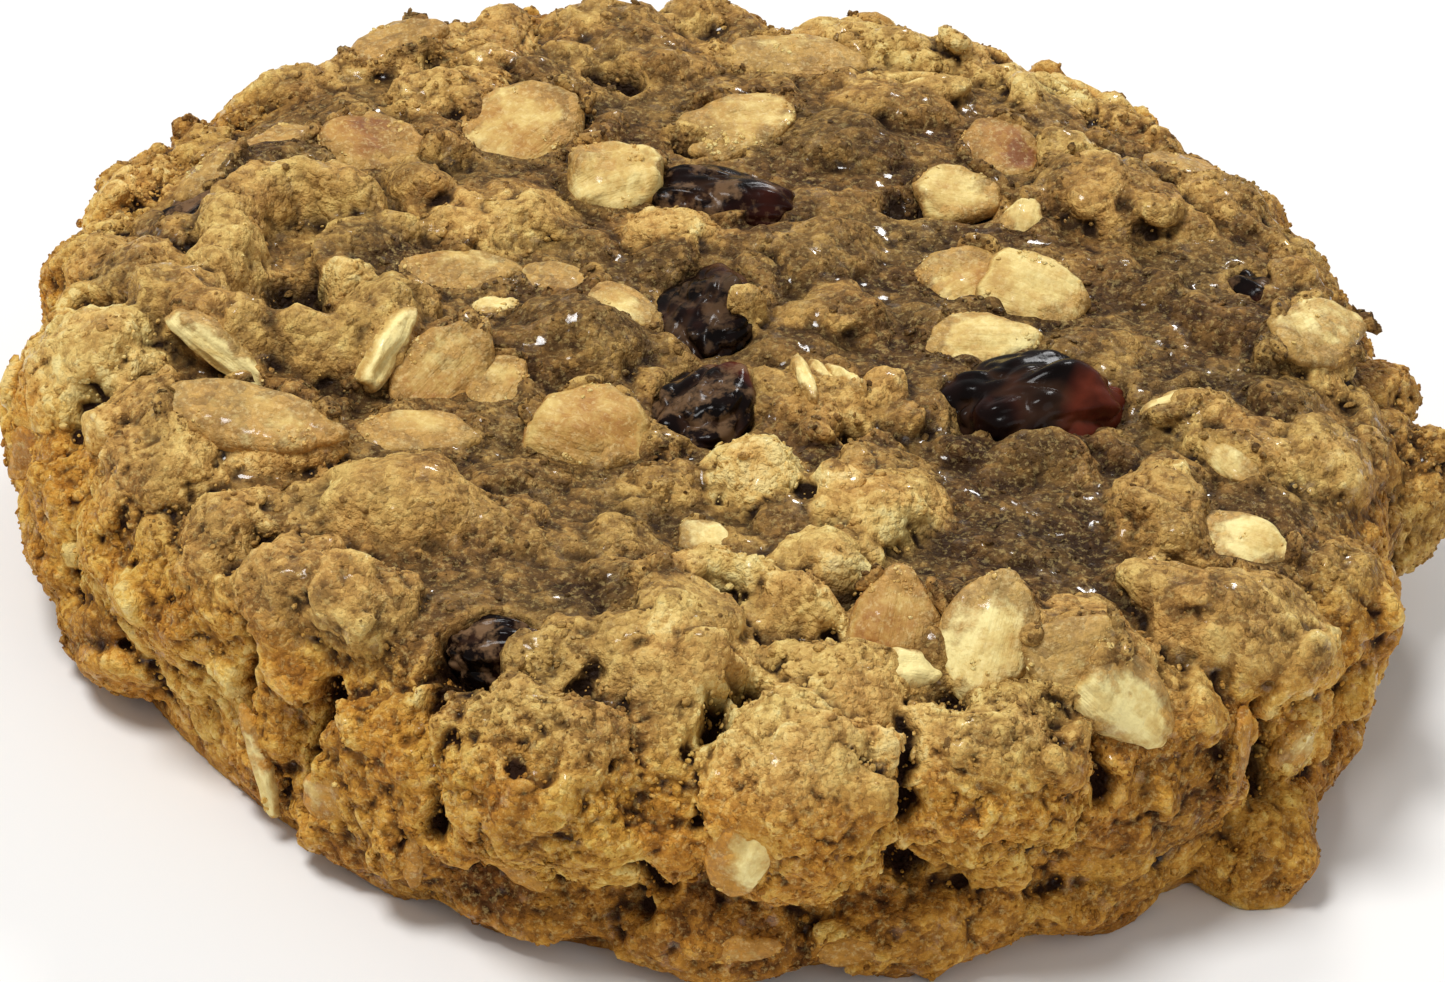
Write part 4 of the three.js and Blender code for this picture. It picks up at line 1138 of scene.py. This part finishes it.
def make_flakes(flakes, lumps):
    ball = unit_ball(4)[0]
    bm = bmesh.new()
    for _ in flakes:
        bmesh.ops.create_icosphere(bm, subdivisions=4, radius=1)
    oats = from_bmesh("oat_flakes", bm)
    points, rims, films, grain = [], [], [], []
    for number, flake in enumerate(flakes):
        for unit in ball.tolist():
            local, wide, held = shape_flake(Vector(unit), flake, number * 1.7)
            points.append(flake["place"] @ local)
            rims.append(wide)
            films.append(held)
            grain.append((local.x, local.y))
    move_to(oats.data, np.array(points))
    store(oats.data, "rim", rims)
    store(oats.data, "along", [along for along, _ in grain])
    store(oats.data, "across", [across for _, across in grain])
    store(oats.data, "film", films)
    store(oats.data, "toast", np.repeat([flake["toast"] for flake in flakes], len(ball)))
    store(oats.data, "batch", np.repeat(np.arange(len(flakes)) * 3.7, len(ball)))
    note_places(oats.data, lumps)
    oats.data.shade_smooth()
    return oats


# ---- raisins ----
def make_raisin(raisin):
    """A wrinkled body folded in along its length, with finer creases between the folds."""
    half = Vector(raisin["size"]) / 2
    shift = Vector((raisin["at"][0], 0, raisin["at"][1])) * 0.37
    place = raisin_place(raisin)
    bm = bmesh.new()
    crease_layer = bm.verts.layers.float.new("crease")
    dust_layer = bm.verts.layers.float.new("dust")
    red_layer = bm.verts.layers.float.new("red")
    for vert in bmesh.ops.create_icosphere(bm, subdivisions=6, radius=1)["verts"]:
        unit = vert.co.copy()
        around = math.atan2(unit.z, unit.y)
        fold = math.cos(RAISIN_FOLDS * around + 1.6 * unit.x) * (1 - unit.x * unit.x)
        along = Vector((unit.x * 0.7, unit.y * 1.3, unit.z * 1.3))
        wrinkle = abs(noise.fractal(along * 1.1 + shift, 1.0, 2.0, 2))
        fine = abs(noise.fractal(along * 2.6 - shift, 1.0, 2.0, 1))
        scale = 1 + FOLD_DEPTH * fold + WRINKLE_DEPTH * (wrinkle - 0.22)
        scale += FINE_WRINKLE_DEPTH * (fine - 0.2)
        vert.co = place @ (unit * half * scale)
        vert[crease_layer] = max(0, 1 - wrinkle * 6)
        vert[dust_layer] = raisin["dust"]
        vert[red_layer] = raisin["red"] * min(max(unit.x * 4 - unit.y * 2 - 1.4, 0), 1)
    skin = from_bmesh(raisin["node"] + "_skin", bm)
    skin.data.shade_smooth()
    return skin


# ---- materials ----
def linear(red, green, blue):
    """A colour given as 0 to 255 on screen, as the shader's own numbers."""
    shares = [v / 255 for v in (red, green, blue)]
    return tuple(s / 12.92 if s <= 0.04045 else ((s + 0.055) / 1.055) ** 2.4 for s in shares) + (1,)


class Nodes:
    """Short ways to place and join shader nodes in one tree."""

    def __init__(self, tree):
        self.tree = tree

    def add(self, kind, inputs=None, **settings):
        node = self.tree.nodes.new(kind)
        for key, value in settings.items():
            setattr(node, key, value)
        self.set(node.inputs, inputs or {})
        return node

    def set(self, sockets, values):
        for key, value in values.items():
            self.feed(sockets[key], value)

    def feed(self, socket, value):
        if isinstance(value, bpy.types.NodeSocket):
            self.tree.links.new(value, socket)
        else:
            socket.default_value = value

    def attribute(self, name):
        return self.add("ShaderNodeAttribute", attribute_name=name).outputs["Fac"]

    def place(self):
        return self.add("ShaderNodeTexCoord").outputs["Object"]

    def math(self, operation, a, b=0.0, clamp=False):
        return self.add("ShaderNodeMath", {0: a, 1: b}, operation=operation,
                        use_clamp=clamp).outputs[0]

    def noise(self, size, detail=3.0, roughness=0.55, vector=None):
        """Noise whose features are about size mm wide."""
        node = self.add("ShaderNodeTexNoise", {"Vector": vector or self.place(),
                                               "Scale": 1 / (size * MM), "Detail": detail,
                                               "Roughness": roughness})
        return node.outputs["Fac"]

    def between(self, value, low, high, to_low=0.0, to_high=1.0):
        node = self.add("ShaderNodeMapRange", {"Value": value, "From Min": low, "From Max": high,
                                               "To Min": to_low, "To Max": to_high}, clamp=True)
        return node.outputs[0]

    def blend(self, share, a, b, kind="MIX"):
        node = self.add("ShaderNodeMix", {0: share}, data_type="RGBA", blend_type=kind)
        self.feed(node.inputs[6], a)
        self.feed(node.inputs[7], b)
        return node.outputs[2]

    def sway(self, level, *masks):
        """A level moved up or down where each mask is above or below a half, by its share."""
        for mask, share in masks:
            swing = self.math("MULTIPLY", self.math("SUBTRACT", mask, 0.5), share)
            level = self.math("ADD", level, swing)
        return level

    def bump(self, shader, height, strength, depth):
        """Gives the shader a bump whose depth is in millimetres."""
        node = self.add("ShaderNodeBump", {"Height": height, "Strength": strength,
                                           "Distance": depth * MM})
        self.feed(shader.inputs["Normal"], node.outputs["Normal"])

    def ramp(self, value, stops):
        node = self.add("ShaderNodeValToRGB", {"Fac": value})
        elements = node.color_ramp.elements
        while len(elements) < len(stops):
            elements.new(0.5)
        for element, (position, colour) in zip(elements, stops):
            element.position = position
            element.color = linear(*colour)
        return node.outputs["Color"]


def new_material(name):
    material = bpy.data.materials.new(name)
    material.use_nodes = True
    kit = Nodes(material.node_tree)
    shader = material.node_tree.nodes["Principled BSDF"]
    return material, kit, shader


def new_group(name, inputs, outputs):
    group = bpy.data.node_groups.new(name, "ShaderNodeTree")
    for label, kind, default in inputs:
        socket = group.interface.new_socket(label, in_out="INPUT", socket_type=kind)
        socket.default_value = default
    for label, kind in outputs:
        group.interface.new_socket(label, in_out="OUTPUT", socket_type=kind)
    kit = Nodes(group)
    return group, kit, kit.add("NodeGroupInput").outputs, kit.add("NodeGroupOutput").inputs


def make_crumb_group():
    """Grain height, pale specks and moist spots, shared by the dough and the flakes."""
    group, kit, given, result = new_group(
        "baked_grain", [("Grain Size", "NodeSocketFloat", 0.6)],
        [(label, "NodeSocketFloat") for label in ("Height", "Chips", "Specks", "Moist")])
    scale = kit.math("DIVIDE", 1 / MM, given["Grain Size"])
    place = kit.place()
    grain = kit.add("ShaderNodeTexNoise", {"Vector": place, "Scale": scale, "Detail": 3.0,
                                           "Roughness": 0.65}).outputs["Fac"]
    drift = kit.add("ShaderNodeTexNoise", {"Vector": place, "Scale": 1.2 / MM, "Detail": 2.0})
    moved = kit.add("ShaderNodeVectorMath", {0: drift.outputs["Color"], 1: (0.9 * MM,) * 3, 2: place},
                    operation="MULTIPLY_ADD").outputs[0]
    cell = kit.add("ShaderNodeTexVoronoi", {"Vector": moved,
                                            "Scale": kit.math("MULTIPLY", scale, 0.6)}).outputs
    height = kit.math("SUBTRACT", kit.math("MULTIPLY", grain, 1.2),
                      kit.math("MULTIPLY", cell["Distance"], 0.8))
    chips = kit.add("ShaderNodeSeparateColor", {"Color": cell["Color"]}).outputs["Red"]
    kit.set(result, {"Height": height, "Chips": chips,
                     "Specks": kit.between(kit.noise(0.45, 3.0, 0.7, place), 0.53, 0.64),
                     "Moist": kit.between(kit.noise(1.5, 3.0, 0.6, place), 0.58, 0.66)})
    return group


def make_bake_group():
    """The baked dough's colour, greyer on the crown and more toasted on the side."""
    group, kit, given, result = new_group(
        "baked_colour", [("Level", "NodeSocketFloat", 0.5), ("Side", "NodeSocketFloat", 0.0)],
        [("Colour", "NodeSocketColor")])
    crown = kit.ramp(given["Level"], CROWN_BAKE)
    flank = kit.ramp(given["Level"], SIDE_BAKE)
    tint = kit.ramp(kit.noise(6.0, 2.0), [(0.36, (255, 246, 234)), (0.64, (252, 255, 246))])
    kit.feed(result["Colour"], kit.blend(1.0, kit.blend(given["Side"], crown, flank), tint,
                                         "MULTIPLY"))
    return group


def add_grain(kit, group, size):
    return kit.add("ShaderNodeGroup", {"Grain Size": size}, node_tree=group).outputs


def dough_colour(kit, grain, mottle, bake_group):
    """The baked colour, with its tone unsettled from place to place, painted shade in small hollows
    and painted highlight on edges, and pale specks on crumb.
    """
    crumb, hollow, chunk = (kit.attribute(name) for name in ("crumb", "hollow", "chunk"))
    level = kit.sway(kit.attribute("tone"), (kit.noise(6.0, 2.0), 0.35), (mottle, 0.3),
                     (kit.noise(0.36, 2.0, 0.6), 0.34), (grain["Chips"], 0.23))
    level = kit.math("ADD", level, kit.math("MULTIPLY", chunk, 0.06))
    # darker in small hollows and paler on edges: painted shade and painted highlight
    level = kit.math("SUBTRACT", level, kit.math("MULTIPLY", hollow, 0.34))
    bake = kit.add("ShaderNodeGroup", {"Level": level, "Side": kit.attribute("side")},
                   node_tree=bake_group)
    specks = kit.math("MULTIPLY", grain["Specks"], kit.between(crumb, 0.0, 1.0, 0.2, 0.48))
    return kit.blend(specks, bake.outputs["Colour"], linear(*SPECK_COLOUR))


def shaded_and_stained_colour(kit, colour, mottle):
    """The colour with painted shade darkening its cracks and hollows, and stained near the raisins.
    """
    # painted shade in cracks, broad hollows and small hollows
    shade = kit.math("ADD", kit.between(kit.attribute("deep"), 0.02, 0.62, 0.0, 0.93),
                     kit.between(kit.attribute("hollow"), 0.25, 0.9, 0.0, 0.5), clamp=True)
    shade_colour = kit.blend(kit.attribute("side"), linear(*CROWN_SHADE_COLOUR),
                            linear(*SIDE_SHADE_COLOUR))
    colour = kit.blend(shade, colour, shade_colour)
    stained = kit.math("MULTIPLY", kit.attribute("stain"), kit.between(mottle, 0.35, 0.65, 0.3, 0.85))
    return kit.blend(stained, colour, linear(*RAISIN_STAIN_COLOUR))


def make_dough_material(grain_group, bake_group):
    material, kit, shader = new_material("baked_dough")
    grain = add_grain(kit, grain_group, DOUGH_GRAIN_SIZE)
    mottle = kit.noise(1.5, 4.0, 0.7)
    colour = dough_colour(kit, grain, mottle, bake_group)
    moist = grain["Moist"]
    coat = kit.between(kit.attribute("crumb"), 0.1, 0.7, 0.9, 0.4)
    kit.set(shader.inputs, {"Base Color": shaded_and_stained_colour(kit, colour, mottle),
                            "Coat Weight": kit.math("MULTIPLY", moist, coat),
                            "Coat Roughness": 0.1,
                            "Roughness": kit.between(moist, 0.0, 1.0, 0.62, 0.3),
                            "Specular IOR Level": 0.14})
    kit.bump(shader, grain["Height"], 1.0, 0.36)
    return material


def oat_fibre(kit):
    """Fine streaks along each flake."""
    along, across, batch = (kit.attribute(name) for name in ("along", "across", "batch"))
    run = kit.add("ShaderNodeCombineXYZ", {"X": kit.math("MULTIPLY", along, 0.22),
                                           "Y": kit.math("MULTIPLY", across, 2.3), "Z": batch})
    return kit.add("ShaderNodeTexNoise", {"Vector": run.outputs[0], "Scale": 1.0, "Detail": 4.0,
                                          "Roughness": 0.6}).outputs["Fac"]


def toasted_and_shaded_colour(kit, rim, mottle, fine, fibre, chips):
    """The oat's own colour, with a pale band inside its edge, and painted shadow darkening the edge
    where it meets the dough.
    """
    patch = kit.noise(4.2, 2.0)
    edge = kit.math("MULTIPLY", kit.between(rim, 0.75, 0.9), kit.between(patch, 0.4, 0.55))
    level = kit.sway(kit.math("MULTIPLY", kit.attribute("toast"), 0.85), (patch, 1.2),
                     (mottle, 0.55), (fibre, 0.26), (fine, 0.3), (chips, 0.12))
    level = kit.math("SUBTRACT", level, kit.math("MULTIPLY", edge, 0.22))
    # darker at the very rim: painted shadow where the flake meets the dough
    level = kit.math("ADD", level, kit.between(rim, 0.9, 1.0, 0.0, 0.45))
    return kit.ramp(level, OAT_BAKE)


def film_colour(kit, mottle, fine, chips, bake_group):
    """The colour of the dough that clings to a flake."""
    level = kit.math("ADD", kit.math("MULTIPLY", mottle, 0.6), kit.math("MULTIPLY", fine, 0.3))
    level = kit.math("ADD", level, kit.math("MULTIPLY", chips, 0.17))
    return kit.add("ShaderNodeGroup", {"Level": level, "Side": kit.attribute("side")},
                   node_tree=bake_group).outputs["Colour"]


def film_cover(kit, rim):
    """Where dough covers a flake: in patches, and creeping in over parts of its rim."""
    spread = kit.math("ADD", kit.noise(2.6, 4.0, 0.65),
                      kit.math("MULTIPLY", kit.attribute("film"), 0.44))
    creeping = kit.between(kit.noise(3.4, 2.0), 0.46, 0.58, 0.15, 0.5)
    spread = kit.math("ADD", spread, kit.math("MULTIPLY", kit.between(rim, 0.45, 1.0), creeping))
    return kit.between(spread, 0.62, 0.8)


def make_oat_material(grain_group, bake_group):
    material, kit, shader = new_material("rolled_oats")
    grain = add_grain(kit, grain_group, OAT_GRAIN_SIZE)
    rim, chips, fibre = kit.attribute("rim"), grain["Chips"], oat_fibre(kit)
    mottle, fine = kit.noise(1.3, 4.0, 0.7), kit.noise(0.4, 2.0, 0.6)
    covered = film_cover(kit, rim)
    colour = kit.blend(kit.math("MULTIPLY", covered, 0.9),
                       toasted_and_shaded_colour(kit, rim, mottle, fine, fibre, chips),
                       film_colour(kit, mottle, fine, chips, bake_group))
    specks = kit.math("MULTIPLY", grain["Specks"], 0.3)
    kit.set(shader.inputs, {"Base Color": kit.blend(specks, colour, linear(*OAT_SPECK_COLOUR)),
                            "Coat Weight": kit.math("MULTIPLY", grain["Moist"], 0.6),
                            "Coat Roughness": 0.12, "Roughness": 0.5,
                            "Specular IOR Level": 0.2})
    height = kit.math("ADD", kit.math("MULTIPLY", grain["Height"],
                                      kit.between(covered, 0.0, 1.0, 0.4, 1.0)),
                      kit.math("MULTIPLY", fibre, 0.6))
    kit.bump(shader, height, 0.8, 0.35)
    return material


def make_raisin_material():
    material, kit, shader = new_material("raisin_skin")
    patch = kit.noise(3.0, 2.0)
    colour = kit.ramp(patch, RAISIN_SKIN)
    warm = kit.math("MULTIPLY", kit.attribute("red"), kit.between(patch, 0.4, 0.6, 0.5, 1.0))
    colour = kit.blend(warm, colour, linear(*RAISIN_RED))
    colour = kit.blend(kit.math("MULTIPLY", kit.attribute("crease"), 0.3), colour,
                       linear(*RAISIN_CREASE_COLOUR))
    powder = kit.math("MULTIPLY", kit.attribute("dust"),
                      kit.between(kit.noise(1.9, 4.0, 0.65), 0.48, 0.6))
    kit.set(shader.inputs, {"Base Color": kit.blend(powder, colour, linear(*RAISIN_DUST_COLOUR)),
                            "Roughness": kit.between(kit.noise(1.8, 3.0), 0.4, 0.62, 0.12, 0.3),
                            "Specular IOR Level": 0.05, "Coat Weight": 0.1,
                            "Coat Roughness": 0.08})
    kit.bump(shader, kit.noise(0.6, 4.0, 0.6), 0.3, 0.2)
    return material


def make_floor_material():
    material, kit, shader = new_material("pale_floor")
    kit.set(shader.inputs, {"Base Color": linear(*FLOOR_COLOUR), "Roughness": 0.7})
    return material


# ---- camera, light and floor ----
def make_camera():
    elevation, roll = math.radians(CAMERA_ELEVATION), math.radians(CAMERA_ROLL)
    back = Vector((0, -math.cos(elevation), math.sin(elevation)))
    level, upright = Vector((1, 0, 0)), Vector((0, math.sin(elevation), math.cos(elevation)))
    right = math.cos(roll) * level + math.sin(roll) * upright
    up = math.cos(roll) * upright - math.sin(roll) * level
    target = Vector(CAMERA_TARGET) + Vector((*CENTRE_SHIFT, 0))
    data = bpy.data.cameras.new("camera")
    data.sensor_width = SENSOR_WIDTH
    data.lens = CAMERA_LENS
    data.clip_start, data.clip_end = 0.01, 10
    camera = bpy.data.objects.new("camera", data)
    bpy.context.scene.collection.objects.link(camera)
    basis = Matrix((right, up, back)).transposed().to_4x4()
    camera.matrix_world = Matrix.Translation((target + back * CAMERA_DISTANCE) * MM) @ basis
    bpy.context.scene.camera = camera


def add_light(name, place, size, power):
    data = bpy.data.lights.new(name, "AREA")
    data.shape = "DISK"
    data.size = size
    data.energy = power
    light = bpy.data.objects.new(name, data)
    bpy.context.scene.collection.objects.link(light)
    light.location = place
    aim = Vector(LIT_POINT) - Vector(place)
    light.rotation_euler = aim.to_track_quat("-Z", "Y").to_euler()


def make_studio():
    bm = bmesh.new()
    bmesh.ops.create_grid(bm, x_segments=1, y_segments=1, size=FLOOR_HALF_WIDTH)
    floor = from_bmesh("floor", bm)
    floor.data.materials.append(make_floor_material())
    floor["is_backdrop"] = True
    world = bpy.data.worlds.new("studio")
    world.use_nodes = True
    sky = world.node_tree.nodes["Background"].inputs
    Nodes(world.node_tree).set(sky, {"Color": (1, 1, 1, 1), "Strength": SKY_STRENGTH})
    bpy.context.scene.world = world
    bpy.context.scene.view_settings.view_transform = "Standard"
    for light in LIGHTS:
        add_light(*light)


# ---- put together ----
def finish_piece(piece, material, slot_name, *nodes):
    piece.data.transform(Matrix.Scale(MM, 4) @ Matrix.Translation((*CENTRE_SHIFT, 0)))
    piece.data.materials.clear()
    piece.data.materials.append(material)
    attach(piece, "root")
    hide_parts(*nodes)


make_camera()
make_studio()

grain_group = make_crumb_group()
bake_group = make_bake_group()
dough_finish = make_dough_material(grain_group, bake_group)
oat_finish = make_oat_material(grain_group, bake_group)
raisin_finish = make_raisin_material()

dough, lumps, flake_spots = make_dough()
oats = make_flakes(flake_spots, lumps)
crumbs = [make_crumbs(dough, likely_on_dough, lumps, flake_spots, *sizes) for sizes in CRUMBS]
crumbs.append(make_crumbs(oats, likely_on_flakes, lumps, flake_spots, *FLAKE_CRUMBS))
for baked in (dough, *crumbs):
    finish_piece(baked, dough_finish, "dough", "cookie")
finish_piece(oats, oat_finish, "oat", "cookie")
for raisin in RAISINS:
    finish_piece(make_raisin(raisin), raisin_finish, "raisin", raisin["node"])

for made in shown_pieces():
    made.data.calc_loop_triangles()
    print(made.name, "triangles", len(made.data.loop_triangles))
